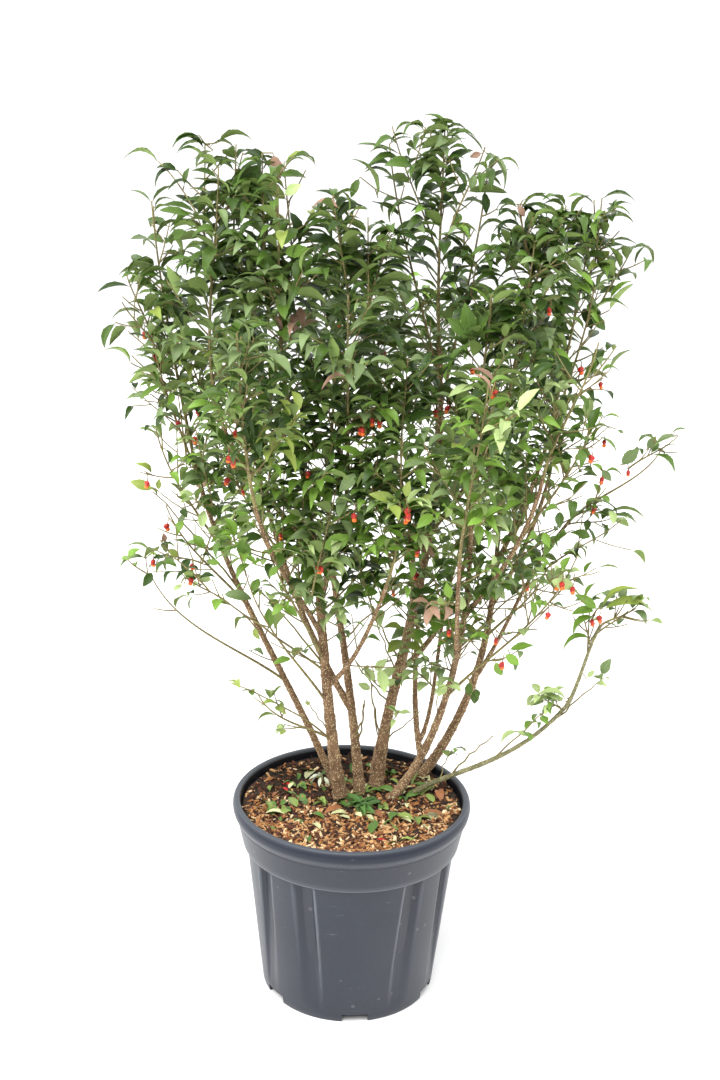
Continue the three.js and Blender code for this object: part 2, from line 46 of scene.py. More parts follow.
# Small helpers for directions, curves and seeded numbers

def unit(v):
    v = np.asarray(v, float)
    return v / max(np.linalg.norm(v), 1e-12)


def clamped(share):
    return min(max(share, 0), 1)


def turned(v, axis, angle):
    axis = unit(axis)
    near, aside = math.cos(angle), math.sin(angle)
    return v * near + np.cross(axis, v) * aside + axis * axis.dot(v) * (1 - near)


def flatTo(v, axis):
    return v - axis * np.dot(v, axis)


def sideOf(v, axis, angle):
    # The way that v takes square to the axis, turned about it
    return turned(unit(flatTo(v, axis)), axis, angle)


def nearestOf(places, point):
    return places[int(np.argmin(np.linalg.norm(places - point, axis=1)))]


def curveThrough(start, bendA, bendB, tip):
    t = np.linspace(0, 1, 201)[:, None]
    corners = [np.asarray(p, float) for p in (start, bendA, bendB, tip)]
    weights = [(1 - t) ** 3, 3 * (1 - t) ** 2 * t, 3 * (1 - t) * t ** 2, t ** 3]
    points = sum(w * c for w, c in zip(weights, corners))
    steps = np.linalg.norm(np.diff(points, axis=0), axis=1)
    return {"points": points, "marks": np.concatenate([[0], np.cumsum(steps)])}


def lengthOf(curve):
    return curve["marks"][-1]


def pointAt(curve, share):
    where = np.asarray(share) * curve["marks"][-1]
    return np.stack([np.interp(where, curve["marks"], curve["points"][:, i]) for i in range(3)], axis=-1)


def wayAt(curve, share):
    return unit(pointAt(curve, min(share + 0.01, 1)) - pointAt(curve, max(share - 0.01, 0)))


def shareAtHeight(curve, height):
    low, high = 0.0, 1.0
    for _ in range(30):
        middle = (low + high) / 2
        if pointAt(curve, middle)[2] < height:
            low = middle
        else:
            high = middle
    return low


def onLine(line, share):
    # A place on a line of points, and the way that the line takes there
    last = len(line) - 1
    spot = np.array([np.interp(share * last, np.arange(last + 1), line[:, i]) for i in range(3)])
    k = min(int(share * last), last - 1)
    return spot, unit(line[k + 1] - line[k])


def risingLine(root, way, long, lift):
    t = np.linspace(0, 1, 6)[:, None]
    return root + way * t * long + upWay * t ** 2 * lift


def bentLine(points, weights, count):
    first, middle, last = points
    curve = curveThrough(first, first * 0.4 + middle * 0.6, middle * weights[0] + last * weights[1], last)
    return pointAt(curve, np.linspace(0, 1, count))


def dice(seed):
    # The source's own seeded numbers
    state = [(seed * 7919 + 17) % 2 ** 32]

    def roll():
        state[0] = (state[0] * 1664525 + 1013904223) % 2 ** 32
        return state[0] / 2 ** 32

    for _ in range(5):
        roll()
    return roll


# Camera, fitted to the pot's rim, foot and sides

cameraSetup = {
    "focal": 1300.0, "centre": (360, 540),  # pixels on the 720 x 1080 frame
    "place": (0.0, -1747.1, 1195.1), "sensor": 36.0,
    "pitch": math.radians(16.11), "roll": math.radians(1.461), "yaw": math.radians(0.083),
}


def cameraAxes():
    pitch, roll, yaw = cameraSetup["pitch"], cameraSetup["roll"], cameraSetup["yaw"]
    ahead = np.array([math.sin(yaw) * math.cos(pitch), math.cos(yaw) * math.cos(pitch), -math.sin(pitch)])
    right = np.array([math.cos(yaw), -math.sin(yaw), 0.0])
    above = np.cross(right, ahead)
    rolledRight = right * math.cos(roll) + above * math.sin(roll)
    rolledAbove = -right * math.sin(roll) + above * math.cos(roll)
    return rolledRight, rolledAbove, ahead


def onPhoto(points):
    # Pixels on the front view, and the distance along the camera's axis
    right, above, ahead = cameraAxes()
    centreX, centreY = cameraSetup["centre"]
    seen = np.atleast_2d(points) - np.array(cameraSetup["place"])
    depth = seen @ ahead
    x = centreX + cameraSetup["focal"] * (seen @ right) / depth
    y = centreY - cameraSetup["focal"] * (seen @ above) / depth
    return x, y, depth


def fromPhoto(x, y, depth):
    # The place that the front view shows at a pixel, at a depth behind the pot's middle
    right, above, ahead = cameraAxes()
    centreX, centreY = cameraSetup["centre"]
    ray = ahead + right * (x - centreX) / cameraSetup["focal"] + above * (centreY - y) / cameraSetup["focal"]
    place = np.array(cameraSetup["place"])
    return place + ray * (depth - place[1]) / ray[1]


def linked(name, data):
    made = bpy.data.objects.new(name, data)
    bpy.context.scene.collection.objects.link(made)
    return made


def makeCamera():
    right, above, ahead = cameraAxes()
    data = bpy.data.cameras.new("camera")
    data.lens = cameraSetup["sensor"] * cameraSetup["focal"] / (2 * cameraSetup["centre"][1])
    data.sensor_width = cameraSetup["sensor"]
    camera = linked("camera", data)
    turn = Matrix((right, above, -ahead)).transposed().to_4x4()
    camera.matrix_world = Matrix.Translation(Vector(cameraSetup["place"]) * mm) @ turn
    bpy.context.scene.camera = camera


makeCamera()


# Node materials

def newGroup(name, inputs, outputs):
    group = bpy.data.node_groups.new(name, "ShaderNodeTree")
    for label, kind, value in inputs:
        socket = group.interface.new_socket(name=label, in_out="INPUT", socket_type="NodeSocket" + kind)
        socket.default_value = value
    for label, kind in outputs:
        group.interface.new_socket(name=label, in_out="OUTPUT", socket_type="NodeSocket" + kind)
    return group, group.nodes.new("NodeGroupInput"), group.nodes.new("NodeGroupOutput")


def feed(tree, value, socket):
    # An output is wired to the socket, and a constant is set on it
    if hasattr(value, "is_output"):
        tree.links.new(value, socket)
    else:
        socket.default_value = value


def put(tree, kind, values=None, **settings):
    node = tree.nodes.new("ShaderNode" + kind)
    for key, value in settings.items():
        setattr(node, key, value)
    for key, value in (values or {}).items():
        feed(tree, value, node.inputs[key])
    return node


def ramp(tree, source, stops):
    node = put(tree, "ValToRGB", {"Fac": source})
    edge = node.color_ramp
    while len(edge.elements) < len(stops):
        edge.elements.new(0.5)
    for element, (place, level) in zip(edge.elements, stops):
        element.position = place
        element.color = (level, level, level, 1)
    return node.outputs["Color"]


def blended(tree, fac, first, second):
    return put(tree, "Mix", {0: fac, 6: first, 7: second}, data_type="RGBA").outputs[2]


def figured(tree, operation, first, second=0.0):
    return put(tree, "Math", {0: first, 1: second}, operation=operation).outputs[0]


def times(tree, first, second):
    return figured(tree, "MULTIPLY", first, second)


def mapped(tree, source, low=0.0, high=1.0, toLow=0.0, toHigh=1.0):
    values = {"Value": source, "From Min": low, "From Max": high, "To Min": toLow, "To Max": toHigh}
    return put(tree, "MapRange", values).outputs[0]


def noised(tree, place, scale, detail, roughness=0.5):
    values = {"Vector": place, "Scale": scale, "Detail": detail, "Roughness": roughness}
    return put(tree, "TexNoise", values).outputs[0]


def stretched(tree, place, scale):
    return put(tree, "Mapping", {"Vector": place, "Scale": scale}).outputs[0]


def tone(red, green, blue):
    levels = [c / 255 for c in (red, green, blue)]
    linear = [c / 12.92 if c <= 0.04045 else ((c + 0.055) / 1.055) ** 2.4 for c in levels]
    return (*linear, 1.0)


def makeMottleGroup():
    # Two colours in soft patches, broken by finer grain, on object coordinates
    group, given, made = newGroup(
        "mottle",
        [("Color A", "Color", (0.5, 0.5, 0.5, 1)), ("Color B", "Color", (0.2, 0.2, 0.2, 1)),
         ("Patch Scale", "Float", 30.0), ("Grain Scale", "Float", 300.0)],
        [("Color", "Color"), ("Grain", "Float")])
    place = put(group, "TexCoord").outputs["Object"]
    patch = noised(group, place, given.outputs["Patch Scale"], 3.0)
    grain = noised(group, place, given.outputs["Grain Scale"], 4.0)
    mask = ramp(group, figured(group, "ADD", times(group, patch, 0.65), times(group, grain, 0.35)),
                [(0.38, 0.0), (0.62, 1.0)])
    colour = blended(group, mask, given.outputs["Color A"], given.outputs["Color B"])
    feed(group, colour, made.inputs["Color"])
    feed(group, grain, made.inputs["Grain"])
    return group


def makeFleckGroup():
    # Small flecks, in coordinates that may be stretched before they reach the group
    group, given, made = newGroup(
        "flecks",
        [("Vector", "Vector", (0, 0, 0)), ("Scale", "Float", 400.0), ("Spread", "Float", 0.3)],
        [("Mask", "Float")])
    cells = put(group, "TexVoronoi", {"Vector": given.outputs["Vector"], "Scale": given.outputs["Scale"],
                                      "Randomness": 1.0})
    chosen = put(group, "SeparateColor", {0: cells.outputs["Color"]})
    near = figured(group, "LESS_THAN", cells.outputs["Distance"], 0.34)
    picked = figured(group, "LESS_THAN", chosen.outputs[0], given.outputs["Spread"])
    feed(group, times(group, near, picked), made.inputs["Mask"])
    return group


mottleGroup = makeMottleGroup()
fleckGroup = makeFleckGroup()


def newMaterial(name, roughness, specular=0.5):
    material = bpy.data.materials.new(name)
    material.use_nodes = True
    tree = material.node_tree
    shader = tree.nodes["Principled BSDF"]
    shader.inputs["Roughness"].default_value = roughness
    shader.inputs["Specular IOR Level"].default_value = specular
    return material, tree, shader


def placeMottle(tree, first, second, patch, grain):
    values = {"Color A": first, "Color B": second, "Patch Scale": patch, "Grain Scale": grain}
    return put(tree, "Group", values, node_tree=mottleGroup)


def placeFlecks(tree, place, scale, spread):
    values = {"Vector": place, "Scale": scale, "Spread": spread}
    return put(tree, "Group", values, node_tree=fleckGroup).outputs[0]


def placeBump(tree, shader, height, strength, distance):
    bump = put(tree, "Bump", {"Height": height, "Strength": strength, "Distance": distance})
    feed(tree, bump.outputs["Normal"], shader.inputs["Normal"])


def mottledMaterial(name, first, second, patch, grain, roughness, bump=0.0004, specular=0.5):
    material, tree, shader = newMaterial(name, roughness, specular)
    mottle = placeMottle(tree, first, second, patch, grain)
    feed(tree, mottle.outputs["Color"], shader.inputs["Base Color"])
    placeBump(tree, shader, mottle.outputs["Grain"], 0.6, bump)
    return material


# Meshes: an object from a bmesh, templates, and many copies of templates joined from arrays

def finished(name, mesh, material, smooth=True):
    mesh.materials.append(material)
    if smooth:
        mesh.shade_smooth()
    piece = linked(name, mesh)
    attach(piece, "root")
    return piece


def meshOf(bm, name):
    mesh = bpy.data.meshes.new(name)
    bm.to_mesh(mesh)
    bm.free()
    return mesh


def templateOf(bm):
    bm.verts.index_update()
    points = np.array([v.co for v in bm.verts])
    faces = [[v.index for v in face.verts] for face in bm.faces]
    bm.free()
    return {"points": points, "faces": faces}


def copiesOf(template, places, frames, sizes):
    # frames hold each copy's three axes as rows
    scaled = template["points"][None] * sizes[:, None, :]
    points = places[:, None, :] + np.einsum("nij,njk->nik", scaled, frames)
    count = len(template["points"])
    faces = [[index + count * k for index in face] for k in range(len(places)) for face in template["faces"]]
    return points.reshape(-1, 3), faces


def joinedMesh(name, parts, label=None, extras=None):
    # parts hold places in millimetres and faces; extras hold a vector for each place, kept under the label
    points = np.concatenate([part[0] for part in parts]) * mm
    faces, first = [], 0
    for part in parts:
        faces += [[index + first for index in face] for face in part[1]]
        first += len(part[0])
    mesh = bpy.data.meshes.new(name)
    mesh.from_pydata(points.tolist(), [], faces)
    if label:
        values = np.concatenate(extras).astype(np.float32)
        mesh.attributes.new(label, "FLOAT_VECTOR", "POINT").data.foreach_set("vector", values.ravel())
    return mesh


def tubeAlong(points, radii, sides):
    # A grid rolled up round a line of points: its places and faces, and each place's row and angle
    points = np.asarray(points, float)
    steps = len(points) - 1
    bm = bmesh.new()
    bmesh.ops.create_grid(bm, x_segments=sides, y_segments=steps, size=1)
    grid = templateOf(bm)
    rowOf = np.rint((grid["points"][:, 1] + 1) / 2 * steps).astype(int)
    columnOf = np.rint((grid["points"][:, 0] + 1) / 2 * sides).astype(int) % sides
    spots, order = np.unique(rowOf * sides + columnOf, return_inverse=True)
    rows, angles = spots // sides, 2 * math.pi * (spots % sides) / sides
    ways = np.gradient(points, axis=0)
    ways /= np.linalg.norm(ways, axis=1)[:, None]
    side = upWay if abs(ways[0][2]) < 0.9 else np.array([1.0, 0, 0])
    across = []
    for way in ways:
        side = unit(flatTo(side, way))
        across.append(side)
    across = np.array(across)
    above = np.cross(ways, across)
    out = np.cos(angles)[:, None] * across[rows] + np.sin(angles)[:, None] * above[rows]
    placed = points[rows] + np.asarray(radii)[rows][:, None] * out
    order = order.reshape(-1)
    faces = [[int(order[index]) for index in face] for face in grid["faces"]]
    faces.append([int(k) for k in np.nonzero(rows == steps)[0]])
    return placed, faces, rows, angles


# The pot, in millimetres; a line of radius and height is spun round

potShape = {
    "height": 297.7, "rim": 175.6, "rimInner": 164.0, "base": 129.6, "bodyTopRadius": 155.0, "bodyTop": 229.0,
    "wall": 3.4, "floor": 16.0, "footRing": 5.0, "footRecess": 12.8, "footDisc": 30.0, "footBevel": 1.2,
    "bodyRows": [1.5, 9, 16, 20, 34, 60, 90, 120, 150, 175, 195, 208, 216, 220, 223, 225, 227, 228.2],
    "collar": [(156.6, 229), (159.4, 229.7), (160.6, 230.6), (161.2, 232.4), (163.6, 244), (166.8, 258),
               (168.9, 267.5), (169.6, 270.4), (169.5, 271.4), (170.2, 272.4), (172, 275), (174, 279.5),
               (175.2, 284)],
    "lip": (4.2, 9.5, 8), "lipInside": (4.2, 6, 6),  # width, height and points of each rounded edge
    "inside": [(163.2, 286), (161.6, 276), (158, 249)],
    "turn": math.radians(5.5), "notches": 6, "notchWidth": 38.0, "notchHeight": 12.2, "notchInset": 4.5,
    "fluteDepth": 5.5, "shownDepth": 10.5, "steps": 384, "panelWaist": 4.5, "fluteHead": 9, "swell": 0.25,
    "flutes": [(25.0, 28.2, 32.0, 38.5), (52.0, 58.5, 62.3, 65.5)],  # degrees in each quarter turn
    "sharpAngle": math.radians(38),
}


def bodyRadius(height):
    return potShape["base"] + (potShape["bodyTopRadius"] - potShape["base"]) * height / potShape["bodyTop"]


def riseOf(height):
    return clamped((height - potShape["floor"]) / (potShape["bodyTop"] - potShape["floor"]))


def innerRadius(height):
    return bodyRadius(height) - potShape["wall"] - potShape["fluteDepth"] * riseOf(height)


def eased(share):
    share = clamped(share)
    return share * share * (3 - 2 * share)


def sunkAt(degrees):
    # How far into a flute a place round the body lies
    place = degrees % 90
    for start, deepFrom, deepTo, end in potShape["flutes"]:
        if start < place < end:
            return eased((place - start) / (deepFrom - start)) * eased((end - place) / (end - deepTo))
    return 0.0


def spunShape(profile, steps):
    bm = bmesh.new()
    line = [bm.verts.new((radius * mm, 0, height * mm)) for radius, height in profile]
    edges = [bm.edges.new(pair) for pair in zip(line, line[1:])]
    bmesh.ops.spin(bm, geom=line + edges, cent=(0, 0, 0), axis=(0, 0, 1), angle=2 * math.pi,
                   steps=steps, use_merge=True)
    bmesh.ops.remove_doubles(bm, verts=bm.verts, dist=1e-6)
    return bm


def potProfile():
    shape = potShape
    top, rim, inner, edge = shape["height"], shape["rim"], shape["rimInner"], shape["bodyTop"]
    wide, high, count = shape["lip"]
    lip = [(rim - wide + wide * math.cos(a), top - high + high * math.sin(a))
           for a in np.linspace(0, math.pi / 2, count)]
    wide, high, count = shape["lipInside"]
    lipInside = [(inner + wide - wide * math.sin(a), top - high + high * math.cos(a))
                 for a in np.linspace(0, math.pi / 2, count)]
    ring = shape["base"] - shape["footRing"]
    foot = [(0, 0), (shape["footDisc"], 0), (shape["footDisc"] + 2, shape["footRecess"]),
            (ring, shape["footRecess"]), (ring, 0), (shape["base"] - shape["footBevel"], 0)]
    body = [(bodyRadius(height), height) for height in shape["bodyRows"]]
    floor = [(innerRadius(edge), edge), (innerRadius(shape["floor"]), shape["floor"]), (0, shape["floor"])]
    return foot + body + shape["collar"] + lip + lipInside + shape["inside"] + floor


def makePot():
    shape = potShape
    bm = spunShape(potProfile(), shape["steps"])
    for v in bm.verts:
        height, radius = v.co.z / mm, math.hypot(v.co.x, v.co.y) / mm
        if radius < 1:
            continue
        degrees = math.degrees(math.atan2(v.co.x, -v.co.y) - shape["turn"])
        onWall = 12 < height < shape["bodyTop"] + 0.5 and radius > bodyRadius(height) - 0.3
        head = eased((shape["bodyTop"] + 1 - height) / shape["fluteHead"])  # a flute's rounded head
        depth = shape["shownDepth"] * riseOf(height) ** 0.7 * (0.35 + 0.65 * head)
        drawn = shape["panelWaist"] * (1 - riseOf(height)) * math.sin(math.radians(4 * degrees))
        sunk = depth * sunkAt(degrees + drawn) if onWall else 0
        swell = shape["swell"] * noise.noise(Vector((v.co.x * 14, v.co.y * 14, v.co.z * 9)))
        v.co.x *= (radius - sunk + swell) / radius
        v.co.y *= (radius - sunk + swell) / radius
    bmesh.ops.recalc_face_normals(bm, faces=bm.faces)
    piece = finished("dressed_pot", meshOf(bm, "dressed_pot"), makePotMaterial())
    cutNotches(piece)
    piece.data.shade_smooth()
    piece.data.set_sharp_from_angle(angle=shape["sharpAngle"])
    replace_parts(piece, "pot")


def cutNotches(piece):
    shape = potShape
    bm = bmesh.new()
    for i in range(shape["notches"]):
        made = bmesh.ops.create_cube(bm, size=1)["verts"]
        bmesh.ops.scale(bm, verts=made, vec=Vector((shape["notchWidth"], 36, 2 * shape["notchHeight"])) * mm)
        bmesh.ops.translate(bm, verts=made, vec=Vector((0, -(shape["base"] - shape["notchInset"]) * mm, 0)))
        bmesh.ops.rotate(bm, verts=made, cent=(0, 0, 0),
                         matrix=Matrix.Rotation(shape["turn"] + 2 * math.pi * i / shape["notches"], 3, "Z"))
    cutter = linked("notch_cutter", meshOf(bm, "notch_cutter"))
    cut = piece.modifiers.new("notches", "BOOLEAN")
    cut.operation, cut.solver, cut.object = "DIFFERENCE", "EXACT", cutter
    bpy.context.view_layer.update()
    result = piece.evaluated_get(bpy.context.evaluated_depsgraph_get())
    cutMesh = bpy.data.meshes.new_from_object(result)
    piece.modifiers.clear()
    piece.data = cutMesh
    bpy.data.objects.remove(cutter)


potLook = {  # heights in metres
    "lip": (0.2795, 0.2835), "collar": (0.2285, 0.232), "inside": (0.1672, 0.2705), "footEdge": 0.018,
    "lipGloss": 0.16, "insideShade": 0.95, "collarGrey": 0.04, "scuffs": 0.5, "specks": 0.16, "edgeHighlight": 0.42,
}


def makePotMaterial():
    look = potLook
    material, tree, shader = newMaterial("slate_plastic", 0.3)
    mottle = placeMottle(tree, tone(26, 32, 43), tone(33, 39, 50), 9.0, 160.0)
    place = put(tree, "TexCoord").outputs["Object"]
    height = put(tree, "SeparateXYZ", {0: place}).outputs[2]
    # Painted shade: the lip's colour is darkened, and the same mask lowers its specular level
    lipShadeAndGlossMask = mapped(tree, height, *look["lip"])
    colour = blended(tree, lipShadeAndGlossMask, mottle.outputs["Color"], tone(22, 27, 40))
    feed(tree, mapped(tree, lipShadeAndGlossMask, toLow=0.5, toHigh=look["lipGloss"]), shader.inputs["Specular IOR Level"])
    # Painted shade: the inner face under the lip is darkened, and the collar is a little greyer
    flat = put(tree, "VectorMath", {0: place, 1: (1, 1, 0)}, operation="MULTIPLY").outputs[0]
    radius = put(tree, "VectorMath", {0: flat}, operation="LENGTH").outputs["Value"]
    inside = times(tree, figured(tree, "LESS_THAN", radius, look["inside"][0]),
                   figured(tree, "GREATER_THAN", height, look["inside"][1]))
    colour = blended(tree, times(tree, inside, look["insideShade"]), colour, tone(14, 15, 20))
    collar = mapped(tree, height, *look["collar"])
    colour = blended(tree, times(tree, collar, look["collarGrey"]), colour, tone(78, 82, 90))
    # Pale scuffs: thin level scratches, and specks
    scratch = noised(tree, stretched(tree, place, (1.0, 1.0, 9.0)), 26.0, 6.0, 0.75)
    scuffs = ramp(tree, scratch, [(0.66, 0.0), (0.73, 1.0)])
    specks = placeFlecks(tree, place, 110.0, 0.02)
    marks = figured(tree, "MAXIMUM", times(tree, scuffs, look["scuffs"]), times(tree, specks, look["specks"]))
    colour = blended(tree, marks, colour, tone(150, 150, 152))
    # Painted highlight: a light line where the surface turns sharply, kept off the foot
    bend = ramp(tree, put(tree, "NewGeometry").outputs["Pointiness"], [(0.508, 0.0), (0.545, 1.0)])
    bend = times(tree, bend, figured(tree, "GREATER_THAN", height, look["footEdge"]))
    colour = blended(tree, times(tree, bend, look["edgeHighlight"]), colour, tone(150, 156, 164))
    feed(tree, colour, shader.inputs["Base Color"])
    feed(tree, mapped(tree, scratch, toLow=0.31, toHigh=0.43), shader.inputs["Roughness"])
    placeBump(tree, shader, noised(tree, place, 400.0, 2.0), 0.12, 0.0002)
    return material


makePot()
print("pot made")


# The potting mix and the chips that lie on it

mixShape = {
    "top": 275.0, "side": 161.0, "rings": 50, "steps": 176, "foot": 16.4, "gap": 0.5,
    "shoulder": (157.5, 249),
    "heaped": 11.0, "heapFrom": 120, "heapOver": 38,  # it is heaped against the wall
    "mound": 4.0, "moundPlace": (45, 55), "moundSpread": 2600,  # and a little round the stems
    "lumps": 3.0, "sunk": 1.0,
}


def soilAt(x, y):
    shape = mixShape
    heap = shape["heaped"] * eased((math.hypot(x, y) - shape["heapFrom"]) / shape["heapOver"])
    lumps = 0.6 * noise.noise(Vector((x / 26, y / 26, 3))) + 0.4 * noise.noise(Vector((x / 9, y / 9, 7)))
    moundX, moundY = shape["moundPlace"]
    mound = shape["mound"] * math.exp(-((x - moundX) ** 2 + (y - moundY) ** 2) / shape["moundSpread"])
    return shape["top"] + heap + shape["lumps"] * lumps + mound - shape["sunk"]


def makeMix():
    shape = mixShape
    radii = [shape["side"] * (1 - k / shape["rings"]) for k in range(shape["rings"] + 1)]
    edge, foot, gap = potShape["bodyTop"], shape["foot"], shape["gap"]
    profile = [(0, foot), (innerRadius(potShape["floor"]) - gap, foot), (innerRadius(edge) - gap, edge),
               shape["shoulder"]]
    profile += [(radius, 270) for radius in radii]
    bm = spunShape(profile, shape["steps"])
    for v in bm.verts:
        if v.co.z > 0.265:
            v.co.z = soilAt(v.co.x / mm, v.co.y / mm) * mm
    bmesh.ops.recalc_face_normals(bm, faces=bm.faces)
    material = mottledMaterial("dark_mix", tone(58, 42, 28), tone(28, 20, 14), 60, 420, 0.95, 0.0022)
    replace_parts(finished("mix_bed", meshOf(bm, "mix_bed"), material), "potting_mix")


chipShapes = {
    "kinds": 7, "length": (4.0, 13.5), "width": (0.2, 0.5), "thick": (0.08, 0.24), "count": 4300, "edge": 158,
    "lean": 0.5, "crumbs": 0.75,
    # cover behind the line where the front ends, its fall, and the thinner back right and back left
    "frontEnd": -15, "behind": 0.72, "fall": 0.3, "fallOver": 60, "backRight": (25, 40, 0.75),
    "backLeft": (-5, 30, 0.55),
    "tints": {  # share, and two tones
        "chips_amber": (0.31, (178, 124, 74), (118, 72, 40)),
        "chips_tan": (0.25, (208, 168, 118), (160, 114, 70)),
        "chips_cream": (0.11, (236, 214, 176), (206, 174, 128)),
        "chips_brown": (0.33, (104, 62, 42), (56, 34, 24)),
        "crumbs_dark": (0.0, (64, 46, 32), (30, 22, 16)),
    },
    "crumbTints": ([3, 4], [0.3, 0.7]),
}


def chipTemplate(seed):
    rng = np.random.default_rng(seed)
    bm = bmesh.new()
    bmesh.ops.create_cube(bm, size=1)
    bmesh.ops.bevel(bm, geom=bm.edges[:], offset=0.14, affect="EDGES", segments=1, profile=0.5, material=-1)
    for v in bm.verts:
        v.co += Vector(rng.uniform(-0.09, 0.09, 3))
        v.co.x *= 1 - 0.45 * max(0, v.co.y) - 0.15 * max(0, -v.co.y)
        v.co.z += 0.25 * v.co.y ** 2 * rng.uniform(0.2, 1)
    bmesh.ops.recalc_face_normals(bm, faces=bm.faces)
    return templateOf(bm)


def lyingFrames(rng, count, lean):
    yaw = rng.uniform(0, 2 * math.pi, count)
    tiltX, tiltY = rng.normal(0, lean, (2, count))
    z = np.stack([tiltX, tiltY, np.ones(count)], axis=1)
    z /= np.linalg.norm(z, axis=1)[:, None]
    x = np.stack([np.cos(yaw), np.sin(yaw), np.zeros(count)], axis=1)
    x -= z * (x * z).sum(axis=1)[:, None]
    x /= np.linalg.norm(x, axis=1)[:, None]
    return np.stack([x, np.cross(z, x), z], axis=1)


def chipCover(x, y):
    # Thick towards the front, thin over the dark mix at the back left and round the stems
    shape = chipShapes
    behind = y - shape["frontEnd"]
    cover = 1.0 if behind < 0 else shape["behind"] - shape["fall"] * min(1, behind / shape["fallOver"])
    edgeX, edgeY, share = shape["backRight"]
    cover *= share if x > edgeX and y > edgeY else 1
    edgeX, edgeY, share = shape["backLeft"]
    return cover * (share if x < edgeX and y > edgeY else 1)


def makeChips():
    rng = np.random.default_rng(11)
    tints = chipShapes["tints"]
    shapes = [chipTemplate(k) for k in range(chipShapes["kinds"])]
    places = []
    while len(places) < chipShapes["count"]:
        x, y = rng.uniform(-160, 160, 2)
        if math.hypot(x, y) > chipShapes["edge"]:
            continue
        if rng.random() < chipCover(x, y):
            places.append((x, y, soilAt(x, y) + rng.uniform(-0.2, 2.2), 0))
        elif rng.random() < chipShapes["crumbs"]:  # crumbs of the dark mix show between them
            places.append((x, y, soilAt(x, y) + rng.uniform(-0.6, 1.4), 1))
    places = np.array(places)
    crumb = places[:, 3] > 0
    places = places[:, :3]
    kinds = rng.integers(0, len(shapes), len(places))
    tintPick = rng.choice(len(tints), len(places), p=[row[0] for row in tints.values()])
    choices, shares = chipShapes["crumbTints"]
    tintPick[crumb] = rng.choice(choices, int(crumb.sum()), p=shares)
    frames = lyingFrames(rng, len(places), chipShapes["lean"])
    length = rng.uniform(*chipShapes["length"], len(places)) * rng.choice([0.7, 1, 1], len(places))
    sizes = np.stack([length * rng.uniform(*chipShapes["width"], len(places)), length,
                      length * rng.uniform(*chipShapes["thick"], len(places))], axis=1)
    for index, (name, (_, first, second)) in enumerate(tints.items()):
        parts = []
        for kind, shape in enumerate(shapes):
            pick = (kinds == kind) & (tintPick == index)
            parts.append(copiesOf(shape, places[pick], frames[pick], sizes[pick]))
        material = mottledMaterial(name, tone(*first), tone(*second), 190, 700, 0.85, 0.0005, 0.35)
        finished(name, joinedMesh(name, parts), material, smooth=False)


makeMix()
makeChips()
print("mix and chips made")


# Limbs, in millimetres. A stem has its foot on the mix, and a bough leaves its parent at a height, or at its
# tip; two bends, the tip, and the radii at foot and tip follow

stems = {
    "stem_left": [(-20, 74), (-110, 100, 470), (-205, 72, 610), (-238, 56, 800), (5.6, 2.8)],
    "stem_front_left": [(-14, 34), (-55, 30, 480), (-40, -15, 640), (-90, -62, 860), (9.2, 3)],
    "stem_middle_left": [(13, 46), (-15, 105, 555), (-55, 140, 600), (-45, 145, 780), (7.4, 2.8)],
    "stem_middle": [(37, 70), (45, 70, 475), (135, 50, 655), (104, 30, 960), (9.2, 2.8)],
    "stem_front_right": [(47, 30), (125, 45, 340), (170, 25, 520), (152, -40, 760), (6.4, 2.8)],
    "stem_right": [(92, 97), (215, 100, 430), (205, 115, 575), (210, 120, 720), (7.4, 2.8)],
    "stem_low_right": [(74, 52), (135, 30, 330), (225, -10, 345), (300, -30, 457), (3.8, 2.8)],
    "stem_back": [(36, 112), (34, 125, 400), (135, 160, 480), (60, 228, 740), (6.4, 2.8)],
}
boughs = {
    "bough_low_right_tip": ["stem_low_right", None,
        (316, -35, 480), (325, -35, 555), (340, -40, 585), (2.8, 2)],
    "bough_left_inner": ["stem_front_left", 650,
        (-100, -5, 740), (-170, -25, 790), (-190, -32, 870), (4.2, 2.7)],
    "bough_front_middle": ["stem_front_left", 600,
        (-32, -35, 680), (-15, -75, 740), (-16, -92, 810), (4, 2.7)],
    "bough_front_low": ["stem_front_left", 460,
        (0, 10, 500), (20, -55, 580), (40, -88, 655), (3.4, 2.5)],
    "bough_front_left": ["stem_front_left", 540,
        (-75, -40, 620), (-115, -130, 690), (-130, -172, 780), (3.6, 2.6)],
    "bough_left_back": ["stem_middle_left", 400,
        (-90, 130, 520), (-130, 185, 640), (-162, 205, 760), (5.2, 2.7)],
    "bough_middle_right": ["stem_middle", 470,
        (130, 90, 515), (160, 110, 590), (168, 128, 680), (4, 2.6)],
    "bough_middle_top": ["stem_middle", 690,
        (150, 25, 760), (190, 0, 830), (198, -12, 905), (3.8, 2.6)],
    "bough_back_right": ["stem_front_right", 345,
        (78, 110, 450), (104, 180, 570), (114, 222, 705), (4.2, 2.7)],
    "bough_back_low": ["bough_back_right", 362,
        (135, 85, 420), (115, 165, 540), (178, 208, 670), (3, 2.4)],
    "bough_right_front": ["stem_front_right", 580,
        (190, -45, 650), (228, -78, 720), (240, -86, 805), (3.8, 2.6)],
    "bough_front_right": ["stem_front_right", 480,
        (145, -35, 550), (132, -120, 620), (130, -160, 710), (3.6, 2.5)],
    "bough_right_upper": ["stem_right", 620,
        (235, 110, 700), (265, 95, 770), (275, 86, 860), (3.8, 2.6)],
    "bough_right_back": ["stem_right", 560,
        (240, 125, 620), (270, 145, 680), (285, 158, 755), (3.8, 2.6)],
    "bough_right_long": ["stem_right", 443,
        (230, 90, 530), (245, 70, 630), (302, 50, 712), (3.2, 2.2)],
}
